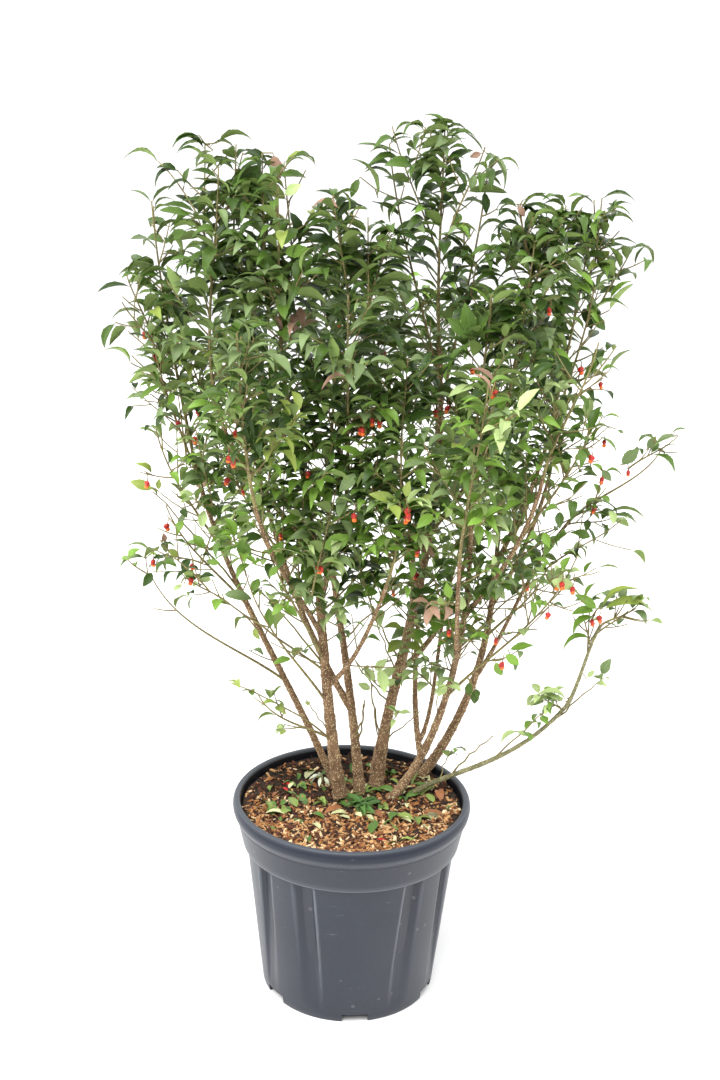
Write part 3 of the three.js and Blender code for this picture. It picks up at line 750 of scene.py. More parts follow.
limbShape = {
    "footDepth": 14.0, "stemFlare": 0.45, "boughFlare": 0.15, "flareLength": 45.0, "station": 2.2,
    "stemSides": 18, "boughSides": 12, "scarEvery": 34.0, "scarSwell": 0.09, "scarLength": 3.2,
    # ridges, lumps and warts: their height, and their pattern across, along and from limb to limb
    "relief": [(0.11, 2.4, 42, 7.3), (0.07, 1.1, 16, 3.1), (0.2, 3.1, 3.4, 5.7)],
    "young": ("stem_low_right", "bough_low_right_tip"),
}


def limbRows():
    limbs = {}
    for name, (foot, bendA, bendB, tip, radii) in stems.items():
        start = (*foot, mixShape["top"] - limbShape["footDepth"])
        limbs[name] = {"curve": curveThrough(start, bendA, bendB, tip), "radii": radii,
                       "flare": limbShape["stemFlare"], "sides": limbShape["stemSides"]}
    for name, (parent, height, bendA, bendB, tip, radii) in boughs.items():
        carrier = limbs[parent]["curve"]
        share = 1.0 if height is None else shareAtHeight(carrier, height)
        flare = 0.0 if height is None else limbShape["boughFlare"]
        limbs[name] = {"curve": curveThrough(pointAt(carrier, share), bendA, bendB, tip), "radii": radii,
                       "flare": flare, "sides": limbShape["boughSides"]}
    return limbs


limbs = limbRows()
limbKnots = np.concatenate([limb["curve"]["points"] for limb in limbs.values()])


def limbRadius(limb, share):
    plain = limb["radii"][0] + (limb["radii"][1] - limb["radii"][0]) * share
    return plain * (1 + limb["flare"] * math.exp(-share * lengthOf(limb["curve"]) / limbShape["flareLength"]))


def barkedLimb(limb, seed):
    # The grid rolled up along the limb, with ridges that run along it, lumps, and paired scars
    length = lengthOf(limb["curve"])
    steps = max(8, round(length / limbShape["station"]))
    shares = np.linspace(0, 1, steps + 1)
    points = pointAt(limb["curve"], shares)
    radii = np.array([limbRadius(limb, share) for share in shares])
    placed, faces, rows, angles = tubeAlong(points, radii, limb["sides"])
    every = limbShape["scarEvery"]
    swell = []
    for row, turn in zip(rows, angles):
        run = shares[row] * length
        apart = ((run / every) % 1 - 0.5) * every
        level = limbShape["scarSwell"] * math.exp(-(apart / limbShape["scarLength"]) ** 2)
        for amount, across, along, shift in limbShape["relief"]:
            spot = Vector((math.cos(turn) * across, math.sin(turn) * across, run / along + seed * shift))
            level += amount * noise.noise(spot)
        swell.append(level)
    placed = points[rows] + (placed - points[rows]) * (1 + np.array(swell))[:, None]
    thick = radii[rows]
    grain = np.stack([np.cos(angles) * thick, np.sin(angles) * thick, shares[rows] * length], axis=1)
    return placed, faces, grain * mm


def makeBarkMaterial(name, first, second, fleck, fleckSpread, bump):
    # Dark cracks along the grain, and pale corky flecks
    material, tree, shader = newMaterial(name, 0.82, 0.3)
    grain = put(tree, "Attribute", attribute_name="grain").outputs["Vector"]
    streak = noised(tree, stretched(tree, grain, (1.0, 1.0, 0.4)), 640.0, 4.0, 0.7)
    crack = tuple(c * 0.4 for c in second[:3]) + (1,)
    dark = times(tree, ramp(tree, streak, [(0.38, 1.0), (0.5, 0.0)]), 0.62)
    colour = blended(tree, dark, placeMottle(tree, first, second, 55, 260).outputs["Color"], crack)
    flecks = placeFlecks(tree, stretched(tree, grain, (1.0, 1.0, 0.62)), 520.0, fleckSpread)
    feed(tree, blended(tree, times(tree, flecks, 0.85), colour, fleck), shader.inputs["Base Color"])
    placeBump(tree, shader, figured(tree, "ADD", streak, times(tree, flecks, 0.3)), 0.9, bump)
    return material


def makeLimbs():
    old = makeBarkMaterial("bark", tone(158, 127, 96), tone(114, 87, 64), tone(230, 211, 164), 0.66, 0.0014)
    green = makeBarkMaterial("green_bark", tone(146, 142, 104), tone(112, 110, 78), tone(196, 190, 150), 0.4,
                             0.001)
    for pieceName, bark in (("bark_limbs", old), ("green_limbs", green)):
        parts, grains, chosen = [], [], []
        for seed, (name, limb) in enumerate(limbs.items()):
            if (name in limbShape["young"]) == (bark is green):
                placed, faces, grain = barkedLimb(limb, seed)
                parts.append((placed, faces))
                grains.append(grain)
                chosen.append(name)
        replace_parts(finished(pieceName, joinedMesh(pieceName, parts, "grain", grains), bark), *chosen)


makeLimbs()
print("limbs made")


# Foliage: each mass has its carrier, the height where it leaves it or None for its tip, the tip of its
# leading shoot, and its kind: the length and number of its twigs and its leaf length, in the source

massKinds = {"full": (68, 4, 80), "low": (60, 4, 66), "thin": (40, 4, 58), "leader": (40, 5, 58)}

masses = {
    "foliage_left_top": ["stem_left", None, (-288, 50, 1140), "full"],
    "foliage_left_inner_top": ["bough_left_inner", None, (-187, -52, 1187), "full"],
    "foliage_left_outer_top": ["stem_left", 740, (-285, 15, 965), "full"],
    "foliage_left_outer": ["stem_left", 640, (-272, -50, 850), "full"],
    "foliage_left_twig": ["stem_left", 560, (-270, 10, 732), "thin"],
    "foliage_left_low_twig": ["stem_left", 440, (-290, 5, 625), "thin"],
    "foliage_left_low": ["stem_front_left", 430, (-150, -60, 650), "low"],
    "foliage_low_left_shoot": ["stem_front_left", 372, (-135, -68, 485), "thin"],
    "foliage_front_left_top": ["stem_front_left", None, (-110, -90, 1168), "full"],
    "foliage_middle_left_top": ["stem_middle_left", None, (-34, 95, 1128), "full"],
    "foliage_left_back_top": ["bough_left_back", None, (-185, 205, 1060), "full"],
    "foliage_left_back": ["bough_left_back", 600, (-235, 190, 830), "full"],
    "foliage_front_left": ["bough_front_left", None, (-150, -200, 1000), "full"],
    "foliage_front_left_low": ["stem_front_left", 500, (-130, -140, 770), "full"],
    "foliage_top": ["stem_middle", None, (99, 20, 1240), "leader"],
    "foliage_top_left": ["stem_middle", 900, (28, 45, 1222), "thin"],
    "foliage_top_right": ["stem_middle", 870, (156, 5, 1190), "thin"],
    "foliage_front_middle": ["bough_front_middle", None, (-20, -130, 1040), "full"],
    "foliage_front_low": ["bough_front_low", None, (52, -160, 870), "full"],
    "foliage_back": ["stem_back", None, (5, 250, 1030), "full"],
    "foliage_back_right": ["bough_back_right", None, (110, 228, 1030), "full"],
    "foliage_front_right_top": ["stem_front_right", None, (160, -85, 1040), "full"],
    "foliage_right_inner_top": ["bough_middle_top", None, (216, -42, 1105), "full"],
    "foliage_right_top": ["bough_right_upper", None, (303, 66, 1105), "full"],
    "foliage_right_outer_top": ["bough_right_upper", 800, (305, 5, 1045), "full"],
    "foliage_right_front": ["bough_right_front", None, (300, -85, 985), "full"],
    "foliage_right_outer": ["bough_right_front", 700, (305, -60, 875), "full"],
    "foliage_right_back": ["bough_right_back", None, (272, 170, 975), "full"],
    "foliage_middle_right": ["bough_middle_right", None, (190, 115, 910), "full"],
    "foliage_back_low": ["bough_back_low", None, (225, 235, 890), "full"],
    "foliage_right_long_shoot": ["bough_right_long", None, (418, 25, 825), "thin"],
    "foliage_right_low": ["stem_front_right", 445, (290, -100, 705), "full"],
    "foliage_right_inner_low": ["stem_right", 510, (270, 20, 650), "low"],
    "foliage_low_right_shoot": ["bough_low_right_tip", None, (376, -45, 612), "thin"],
    "foliage_front_right": ["bough_front_right", None, (150, -210, 945), "full"],
}
crown = {
    "levels": [500, 600, 700, 850, 1030, 1110, 1180, 1235, 1270],
    "left": [170, 235, 290, 325, 352, 348, 325, 240, 130],
    "right": [200, 300, 370, 362, 352, 376, 325, 240, 130],
    "depth": [150, 210, 260, 300, 320, 310, 270, 190, 100],
    "corner": 3, "potRadius": 192, "potTop": 318,  # no leaf or twig comes nearer to the pot
}
growth = {
    "goldenTurn": 2.4, "turnWobble": 0.5, "leastRise": 0.55, "riseRange": 0.35, "leastLength": 0.75,
    "lengthRange": 0.3, "shortening": 0.3, "lastTwig": 0.86, "firstAtTip": 0.1, "firstAtSide": 0.3,
    "fineTwigs": 9, "thinFineTwigs": 3, "fineLength": 0.66, "twiglets": 2, "pairEvery": 14.5,
    "shootPairEvery": 16.0, "leafOut": 0.85, "leafForward": 0.66, "leafDroop": 0.06, "wobble": 0.7,
    "leafLength": 52.0, "lowLeafLength": 32.0, "stalk": 3.0, "tilt": 0.4,
    "missing": 0.05, "otherTint": 0.12,  # shares of the leaves
    "wide": (0.84, 1.1), "lowWider": 0.42, "kindShares": (0.14, 0.24, 0.22, 0.16, 0.16, 0.08),
    # heights where leaves reach full size, where tints turn to those of the top, and where leaves are wider
    "sizeFrom": 650, "sizeOver": 350, "tintFrom": 640, "tintOver": 330, "wideBelow": 900, "wideOver": 300,
    "gapDepth": 170,  # leaves farther from the middle plane are not thinned for gaps of the front view
}
tints = {
    # share of sprays near the top, share near the foot, colour of the upper side
    "leaves_deep": (0.34, 0.01, (48, 71, 24)),
    "leaves_green": (0.34, 0.11, (74, 101, 36)),
    "leaves_fresh": (0.06, 0.42, (114, 149, 58)),
    "leaves_grey": (0.22, 0.14, (112, 132, 84)),
    "leaves_olive": (0.02, 0.12, (134, 150, 70)),
    "leaves_pale": (0.0, 0.20, (166, 186, 122)),
    "leaves_blush": (0.012, 0.01, (156, 124, 104)),
}
tintNames = list(tints)
thinner = {
    "foliage_left_twig": 0.42, "foliage_left_low_twig": 0.4, "foliage_low_left_shoot": 0.3,
    "foliage_left_low": 0.42, "foliage_right_long_shoot": 0.3, "foliage_low_right_shoot": 0.12,
    "foliage_right_inner_low": 0.35,
    "foliage_right_low": 0.62, "foliage_front_left_low": 0.8,
}  # the share of leaves on sprays that are thin in life
openPlaces = [
    # x and y on the front view, half width, half height, and the share of leaves left there
    (150, 480, 42, 66, 0.15), (178, 425, 26, 26, 0.40), (150, 600, 60, 40, 0.30), (225, 640, 60, 34, 0.10),
    (262, 590, 34, 46, 0.18), (290, 650, 40, 46, 0.15), (270, 715, 60, 34, 0.30), (600, 350, 36, 62, 0.10),
    (605, 420, 32, 20, 0.30), (640, 490, 46, 30, 0.30), (545, 620, 62, 36, 0.06), (500, 665, 50, 30, 0.15),
    (560, 500, 30, 16, 0.35), (135, 225, 32, 30, 0.30), (625, 630, 50, 28, 0.45), (372, 640, 26, 34, 0.15),
    (165, 385, 18, 30, 0.5), (428, 300, 15, 44, 0.12), (128, 312, 26, 34, 0.15), (150, 245, 40, 14, 0.2),
    (190, 165, 22, 26, 0.35), (225, 122, 34, 12, 0.0), (280, 143, 30, 14, 0.1), (300, 190, 26, 34, 0.15),
    (337, 175, 14, 14, 0.1), (372, 205, 22, 26, 0.25), (405, 215, 22, 20, 0.5), (455, 165, 16, 26, 0.3),
    (468, 205, 20, 20, 0.3), (495, 185, 24, 24, 0.35), (598, 180, 16, 14, 0.0), (622, 232, 18, 16, 0.25),
    (640, 272, 26, 26, 0.2), (530, 212, 20, 20, 0.5), (590, 440, 22, 40, 0.25), (565, 480, 36, 20, 0.3),
    (585, 532, 18, 18, 0.3), (186, 520, 20, 44, 0.2), (140, 395, 14, 14, 0.3), (255, 545, 24, 28, 0.3),
    (285, 612, 26, 20, 0.25), (670, 455, 30, 28, 0.3), (386, 100, 20, 14, 0.0), (427, 104, 12, 12, 0.0),
    (458, 112, 12, 12, 0.0), (500, 130, 20, 16, 0.1), (620, 620, 24, 20, 0.3), (545, 515, 30, 20, 0.25),
    (612, 545, 30, 20, 0.25), (590, 408, 20, 26, 0.2), (215, 165, 26, 22, 0.4), (238, 142, 22, 12, 0.3),
    (410, 142, 22, 18, 0.4), (400, 185, 22, 20, 0.35), (448, 212, 10, 22, 0.2), (480, 240, 16, 14, 0.3),
    (270, 608, 24, 18, 0.12), (360, 622, 22, 18, 0.2), (397, 628, 14, 22, 0.3), (160, 430, 22, 24, 0.2),
    (138, 360, 14, 22, 0.2), (570, 552, 24, 14, 0.3), (325, 700, 14, 30, 0.1), (590, 196, 28, 14, 0.15),
    (628, 222, 18, 20, 0.3), (470, 165, 18, 20, 0.3), (502, 160, 12, 22, 0.2), (375, 128, 16, 10, 0.2),
    (205, 165, 22, 14, 0.2), (158, 192, 14, 14, 0.3), (463, 158, 10, 18, 0.1), (405, 112, 14, 10, 0.0),
    (108, 280, 20, 14, 0.2), (212, 575, 16, 18, 0.15), (206, 530, 14, 22, 0.1), (245, 530, 14, 16, 0.2),
    (270, 548, 12, 20, 0.2), (592, 405, 14, 22, 0.0), (323, 325, 8, 8, 0.0), (452, 280, 12, 12, 0.1),
    (425, 290, 12, 22, 0.1), (272, 614, 16, 16, 0.0), (130, 320, 18, 12, 0.2), (565, 338, 10, 12, 0.2),
    (545, 500, 26, 12, 0.2), (512, 540, 22, 12, 0.3), (180, 555, 20, 12, 0.3), (475, 612, 20, 14, 0.3),
    (400, 660, 12, 16, 0.2), (245, 590, 16, 14, 0.3), (385, 600, 22, 14, 0.3),
]
leafRows = []
twigRows = []
fineTwigs = ((1.25, 0.65), (0.95, 0.55))
leastTwig = 0.75  # no twig is drawn thinner


def atLevel(sizes, height):
    return float(np.interp(height, crown["levels"], sizes))


def inCrown(point):
    x, y, z = point
    if z > crown["levels"][-1]:
        return False
    wide = abs(x) / atLevel(crown["left"] if x < 0 else crown["right"], z)
    deep = abs(y) / atLevel(crown["depth"], z)
    return wide ** crown["corner"] + deep ** crown["corner"] < 1


def nearAxis(point, axis):
    return float(np.min(np.linalg.norm(axis - point, axis=1)))


def inReach(points, mass):
    for point in points:
        if mass["bulk"] and not inCrown(point):
            return False
        if nearAxis(point, mass["axis"]) > mass["reach"]:
            return False
        if math.hypot(point[0], point[1]) < crown["potRadius"] and point[2] < crown["potTop"]:
            return False
    return True


def pickTint(rng, height):
    high = clamped((height - growth["tintFrom"]) / growth["tintOver"])
    shares = np.array([row[0] * high + row[1] * (1 - high) for row in tints.values()])
    return int(rng.choice(len(shares), p=shares / shares.sum()))


def leftOpen(rng, point):
    x, y, _ = onPhoto(point)
    if abs(point[1]) > growth["gapDepth"]:
        return False
    for middleX, middleY, halfX, halfY, share in openPlaces:
        if ((x[0] - middleX) / halfX) ** 2 + ((y[0] - middleY) / halfY) ** 2 < 1:
            return rng.random() > share
    return False


def sizeAt(height):
    low = growth["lowLeafLength"] / growth["leafLength"]
    return low + (1 - low) * clamped((height - growth["sizeFrom"]) / growth["sizeOver"])


def addLeaf(mass, rng, root, way, length, tint):
    way = unit(way)
    if rng.random() > mass["keep"] or leftOpen(rng, root + way * length * 0.5):
        return
    if mass["bulk"] is not None:
        length *= sizeAt(root[2])
    tip = root + way * (length + growth["stalk"])
    if not inReach([tip], mass):
        return
    tilt = rng.normal(0, growth["tilt"])
    if rng.random() < growth["otherTint"]:  # a few leaves of a spray take another tint
        tint = pickTint(rng, root[2])
    low = clamped((growth["wideBelow"] - root[2]) / growth["wideOver"])
    wide = rng.uniform(*growth["wide"]) * (1.0 + growth["lowWider"] * low)
    kind = int(rng.choice(6, p=growth["kindShares"]))
    leafRows.append((root, way, tilt, length, wide, kind, tint, rng.random()))


def addPair(mass, rng, root, along, length, spin, tint, droop):
    flat = np.cross(along, upWay)
    side = unit(flat) if np.linalg.norm(flat) > 0.55 else mass["side"]
    side = sideOf(side, along, spin + rng.uniform(-0.5, 0.5) * growth["wobble"])
    for hand in (-1, 1):
        if rng.random() < growth["missing"]:
            continue
        out = turned(side * hand, along, rng.uniform(-0.25, 0.25))
        way = out * growth["leafOut"] + along * growth["leafForward"] * rng.uniform(0.6, 1.3) - upWay * droop
        addLeaf(mass, rng, root, way, length * rng.uniform(0.85, 1.12), tint)


def addTwig(mass, rng, root, way, long, tint, level):
    # A twig curves up a little; it holds leaf pairs, a leaf at its tip, and twiglets where it is long enough
    lift = rng.uniform(0.02, 0.16) * long
    bend = root + way * long * 0.5 - upWay * lift * 0.3
    tip = root + way * long + upWay * lift
    t = np.linspace(0, 1, 6)[:, None]
    line = (1 - t) ** 2 * root + 2 * (1 - t) * t * bend + t ** 2 * tip
    if not inReach(line[2:], mass):
        return False
    twigRows.append((line, fineTwigs[level - 1]))
    along = unit(line[-1] - line[-2])
    leaf = mass["leafLength"]
    pairs = int((long * 0.82) / growth["pairEvery"])
    spin = rng.uniform(-0.3, 0.3)
    for k in range(pairs):
        spot, here = onLine(line, 0.93 - k * growth["pairEvery"] / long)
        size = leaf * (0.74 + 0.3 * min(1, k / 2)) * (0.92 if k == pairs - 1 else 1)
        droop = growth["leafDroop"] * rng.uniform(0.5, 2)
        addPair(mass, rng, spot, here, size, spin + (k % 2) * 0.9, tint, droop)
    last = along + sideOf(mass["side"], along, rng.uniform(0, 6)) * 0.9 - upWay * rng.uniform(0, 0.3)
    addLeaf(mass, rng, tip, last, leaf * rng.uniform(0.7, 0.95), tint)
    if level == 1 and long > 48:
        for k in range(growth["twiglets"]):
            spot = onLine(line, 0.3 + 0.28 * k)[0]
            out = sideOf(upWay, way, k * math.pi + rng.uniform(0.8, 2.2))
            addTwig(mass, rng, spot, unit(out * 0.8 + way * 0.65), long * rng.uniform(0.35, 0.55), tint, 2)
    return True


def growMass(name, seed):
    carrier, height, tip, kind = masses[name]
    spread, twigs, leaf = massKinds[kind]
    roll, rng = dice(seed), np.random.default_rng(seed)
    curve = limbs[carrier]["curve"]
    share = 1.0 if height is None else shareAtHeight(curve, height)
    start, tip = pointAt(curve, share), np.array(tip, float)
    chord = tip - start
    long, way = np.linalg.norm(chord), unit(chord)
    leaving = wayAt(curve, 1.0) if height is None else way
    shoot = curveThrough(start, start + leaving * long / 3, tip - unit(way + upWay) * long / 3, tip)
    axis = pointAt(shoot, np.linspace(0, 1, 25))
    top = name in ("foliage_top", "foliage_top_left", "foliage_top_right")
    facing = rng.uniform(-0.8, 0.8)
    mass = {"axis": axis, "reach": spread + leaf, "bulk": spread > 50,
            "side": np.array([math.cos(facing), math.sin(facing), 0.0]),
            "leafLength": growth["leafLength"], "keep": thinner.get(name, 1.0)}
    thick = (limbs[carrier]["radii"][1] * 0.94 if height is None else 2.3, 0.9)
    twigRows.append((axis, thick))
    first = growth["firstAtTip"] if height is None else growth["firstAtSide"]
    room = mass["reach"] - mass["leafLength"]

    def twigAt(share, turn, rise, size):
        tint = pickTint(rng, pointAt(shoot, share)[2])
        root, along = pointAt(shoot, share), wayAt(shoot, share)
        sideways = np.array([1.0, 0, 0]) if abs(along[2]) > 0.9 else np.cross(along, upWay)
        for shift in (0, 0.7, -0.7, 1.4, -1.4, 2.4):
            out = sideOf(sideways, along, turn + shift)
            twigWay = unit(out * math.cos(rise) + along * math.sin(rise))
            if addTwig(mass, rng, root, twigWay, size, tint, 1):
                return

    for k in range(twigs):  # the source's own twigs
        share = first + (growth["lastTwig"] - first) * (k + 0.5 * roll()) / twigs
        turn = k * growth["goldenTurn"] + growth["turnWobble"] * roll()
        rise = growth["leastRise"] + growth["riseRange"] * roll()
        size = room * (growth["leastLength"] + growth["lengthRange"] * roll())
        twigAt(share, turn, rise, size * (1 - growth["shortening"] * share))
    fine = growth["fineTwigs"] if mass["bulk"] else growth["thinFineTwigs"]
    for k in range(fine):  # finer twigs between them
        share = first + (0.9 - first) * (k + rng.uniform(0.2, 0.8)) / fine
        turn = (k + 0.5) * growth["goldenTurn"] + rng.uniform(-0.4, 0.4)
        size = room * growth["fineLength"] * rng.uniform(0.6, 1.1) * (1 - growth["shortening"] * share)
        twigAt(share, turn, rng.uniform(0.45, 0.95), size)
    tint = pickTint(rng, tip[2])
    pairs = int(lengthOf(shoot) * (0.95 - first) / growth["shootPairEvery"])
    for k in range(pairs):
        share = 0.96 - k * growth["shootPairEvery"] / lengthOf(shoot)
        size = mass["leafLength"] * (0.66 + 0.34 * min(1, k / 3))
        spin = (k % 2) * (0.5 if top else 0.9)
        addPair(mass, rng, pointAt(shoot, share), wayAt(shoot, share), size, spin, tint, growth["leafDroop"])
    addPair(mass, rng, tip, wayAt(shoot, 1.0), mass["leafLength"] * 0.7, 0.3, tint, 0.0)
    aside = mass["side"] * rng.choice([-1, 1])
    addLeaf(mass, rng, tip, wayAt(shoot, 1.0) * 0.5 + aside, mass["leafLength"] * 0.6, tint)


for seed, name in enumerate(masses, 1):
    growMass(name, seed)
print("leaves grown:", len(leafRows), "twigs:", len(twigRows))


# Small twigs low down among the stems: the way each takes from the limb that is nearest to its start,
# its radii, the share where its leaves begin (over 1 for a bare twig) and their length

smallTwigs = {
    "low_right_spur": [[(141, 15, 326), (173, 12, 365), (205, 10, 393)], (1.6, 0.9), 2, 0],
    "middle_stub": [[(15, 50, 364), (17, 50, 396), (16, 48, 427)], (1.5, 1.1), 2, 0],
    "back_stub": [[(30, 75, 353), (29, 75, 393), (26, 72, 435)], (1.5, 1.1), 2, 0],
    "middle_bare": [[(43, 45, 429), (23, 30, 465), (-2, 15, 508)], (1.4, 0.8), 2, 0],
    "upper_bare": [[(64, 55, 485), (39, 40, 545), (4, 25, 607)], (1.7, 0.8), 0.8, 26],
    "left_long": [[(-54, 22, 485), (-144, -20, 569), (-221, -60, 651)], (2.0, 0.9), 0.5, 34],
    "left_long_fork": [[(-54, 22, 488), (-80, 0, 555), (-138, -30, 626)], (1.8, 0.9), 0.55, 32],
    "left_outer": [[(-163, 80, 581), (-240, 50, 692), (-291, 30, 745)], (1.8, 0.9), 0.5, 36],
    "low_right_side": [[(285, 0, 438), (323, -20, 469), (349, -35, 504)], (1.5, 0.8), 0.85, 30],
    "low_right_spray": [[(208, 5, 358), (234, -10, 400), (283, -35, 464)], (1.5, 0.7), 0.5, 27],
    "right_bare": [[(217, 85, 523), (243, 70, 536), (267, 60, 543)], (1.5, 0.9), 2, 0],
    "low_left_spray": [[(-8, 30, 368), (-59, 0, 424), (-170, -60, 494)], (1.6, 0.8), 0.45, 34],
    "middle_leafy": [[(107, 60, 584), (134, 20, 659), (154, -10, 726)], (1.7, 0.8), 0.2, 38],
    "front_leafy": [[(-24, 30, 591), (20, -10, 665), (70, -40, 718)], (1.7, 0.8), 0.2, 38],
    "low_leafy": [[(-5, 70, 515), (41, 30, 593), (95, 0, 642)], (1.7, 0.8), 0.3, 34],
    "right_leafy": [[(155, 40, 531), (203, 0, 607), (258, -40, 659)], (1.7, 0.8), 0.25, 36],
    "foot_twig_a": [[(15, 78, 342), (16, 66, 385), (15, 54, 426)], (1.7, 1.0), 2, 0],
    "foot_twig_b": [[(31, 84, 344), (27, 72, 399), (25, 60, 450)], (1.2, 0.8), 2, 0],
    "foot_twig_c": [[(60, 60, 353), (79, 48, 385), (98, 36, 418)], (1.4, 0.8), 2, 0],
    "foot_twig_d": [[(126, 40, 384), (125, 28, 421), (121, 16, 458)], (1.2, 0.8), 2, 0],
    "stem_twig_a": [[(65, 60, 460), (42, 48, 525), (17, 36, 581)], (1.5, 0.8), 0.9, 26],
    "stem_twig_b": [[(44, 66, 415), (20, 54, 458), (0, 42, 494)], (1.5, 0.9), 2, 0],
    "foot_leafy_a": [[(132, 60, 322), (141, 48, 344), (153, 36, 360)], (1.0, 0.7), 0.4, 26],
    "foot_leafy_b": [[(46, 40, 365), (57, 28, 397), (65, 16, 425)], (1.0, 0.7), 0.5, 26],
    "left_leafy_twig": [[(-35, 30, 377), (-50, 18, 414), (-70, 6, 444)], (1.2, 0.8), 0.4, 26],
    "right_outer_leafy": [[(233, 100, 637), (291, 60, 696), (339, 30, 749)], (1.7, 0.8), 0.2, 38],
}
sideTwigs = {
    "from": 470.0, "to": 880.0, "every": 30.0, "length": (45, 100), "leafLength": 31.0, "pairEvery": 13.0,
    "radii": (1.2, 0.6), "lift": 8, "leafReach": 22, "bareTop": 30,
}
moreShoots = [
    # each from and to a place on the front view: x, y and depth
    (258, 262, -60, 262, 153, -60), (285, 262, -40, 284, 162, -40), (214, 235, 0, 205, 144, 0),
    (238, 240, -30, 236, 144, -30), (338, 292, -80, 333, 195, -80), (366, 305, -60, 368, 217, -60),
    (395, 335, -30, 384, 245, -30), (405, 385, 0, 400, 293, 0), (428, 262, 20, 392, 126, 20),
    (458, 232, 0, 485, 147, 0), (572, 268, 20, 566, 206, 20), (352, 560, -40, 358, 505, -60),
    (226, 552, 0, 222, 500, -10), (214, 402, 30, 188, 352, 20), (576, 538, 30, 612, 518, 30),
    (527, 292, -20, 520, 205, -20), (548, 300, 0, 548, 218, 0), (588, 268, 40, 602, 198, 40),
    (600, 305, 40, 632, 248, 40), (152, 332, 0, 126, 273, 0), (145, 345, 0, 122, 302, 0),
    (322, 560, -100, 308, 448, -100), (345, 600, -110, 338, 478, -110), (290, 545, -80, 284, 470, -80),
    (372, 505, -125, 380, 440, -125), (350, 610, -60, 352, 540, -60), (400, 640, -60, 402, 560, -60),
    (430, 640, -40, 432, 570, -40), (470, 640, -20, 480, 560, -20), (300, 600, -60, 296, 520, -60),
    (622, 468, 20, 678, 436, 20), (200, 596, -10, 156, 550, -10), (598, 650, -40, 582, 608, -40),
    (606, 640, -45, 641, 602, -45), (322, 369, 190, 318, 258, 215), (402, 382, 210, 406, 273, 235),
    (281, 423, 170, 270, 339, 215), (488, 400, 190, 503, 298, 205), (306, 478, -60, 300, 384, -60),
    (322, 470, -90, 318, 388, -90), (288, 470, 20, 286, 395, 20), (392, 455, -60, 386, 352, -60),
    (405, 450, -100, 408, 358, -100), (428, 440, -30, 424, 372, -30), (372, 470, -100, 368, 402, -100),
    (262, 450, -60, 255, 392, -60), (225, 300, -50, 215, 248, -50), (262, 305, -30, 258, 252, -30),
    (285, 300, -20, 280, 254, -20), (300, 312, -40, 310, 272, -40), (245, 300, 20, 240, 252, 20),
    (340, 242, -40, 334, 196, -40), (436, 190, 10, 430, 132, 10), (462, 262, -10, 464, 222, -10),
    (520, 250, -20, 518, 205, -20), (592, 240, 20, 594, 200, 20), (200, 470, -20, 178, 392, -20),
    (215, 500, -40, 196, 430, -40), (240, 545, -30, 222, 500, -30), (322, 510, -100, 312, 440, -100),
    (345, 520, -110, 352, 462, -110), (372, 520, -120, 368, 462, -120), (405, 545, -110, 402, 475, -110),
    (430, 545, -80, 436, 478, -80), (345, 575, -100, 338, 520, -100), (375, 575, -120, 378, 515, -120),
    (520, 520, -60, 526, 452, -60), (505, 540, -60, 512, 492, -60), (560, 540, 0, 624, 517, 0),
    (585, 500, 20, 604, 472, 20), (572, 650, -30, 590, 600, -30), (560, 708, -30, 538, 694, -30),
    (215, 610, -30, 182, 574, -30), (200, 600, -10, 160, 540, -10), (170, 565, 0, 128, 560, 0),
    (398, 676, 30, 372, 666, 30), (420, 668, 20, 402, 655, 20), (436, 680, 0, 426, 660, 0),
    (462, 668, 10, 470, 640, 10), (490, 690, 0, 476, 688, 0), (498, 672, -10, 512, 655, -10),
    (470, 290, -20, 476, 264, -20), (508, 268, -10, 496, 250, -10), (456, 240, 0, 460, 220, 0),
    (318, 612, -20, 330, 588, -20), (250, 600, -20, 262, 632, -20),
]
farLeft = [(193, 193, 0), (176, 176, 0), (159, 162, 0)]
shootRule = {
    "radii": (1.5, 0.8), "twigRadii": (1.0, 0.6), "farRadii": (1.2, 0.7), "long": 60,
    "leafSizes": (1.02, 0.85), "pairEvery": 13.5, "twigPairEvery": 14.0, "twigLength": (0.3, 0.5),
    "twigLift": 6, "highTintsFrom": 640, "highTintsFromOnStems": 620,
}


lowTints = [tintNames.index("leaves_" + name) for name in ("fresh", "olive", "pale", "grey", "green")]


def leafyLine(rng, line, first, leafLength, every, tint):
    room = {"bulk": None, "axis": line, "reach": 80, "side": np.array([1.0, 0, 0]), "keep": 1.0}
    long = float(np.linalg.norm(np.diff(line, axis=0), axis=1).sum())
    for k in range(int(long * (0.95 - first) / every) + 1):
        spot, here = onLine(line, 0.95 - k * every / long)
        addPair(room, rng, spot, here, leafLength * (0.75 + 0.25 * min(1, k / 2)), (k % 2) * 0.8, tint, 0.12)
    tipWay = unit(line[-1] - line[-2])
    aside = sideOf(np.array([1.0, 0.25, 0]), tipWay, rng.choice([0, math.pi]) + rng.normal(0, 0.4))
    addLeaf(room, rng, line[-1], tipWay * 0.45 + aside - upWay * 0.1, leafLength * 0.9, tint)


def shootTint(rng, height, lowest):
    return pickTint(rng, height) if height > lowest else int(rng.choice(lowTints))


def growSmallTwigs(rng):
    for places, thick, first, leafLength in smallTwigs.values():
        start, middle, end = [np.array(place, float) for place in places]
        line = bentLine((nearestOf(limbKnots, start), middle, end), (0.55, 0.45), 9)
        line[1:-1] += rng.normal(0, 1.2, (7, 3))
        twigRows.append((line, thick))
        if first < 1:
            leafyLine(rng, line, first, leafLength, 19.0, int(rng.choice(lowTints[:4])))


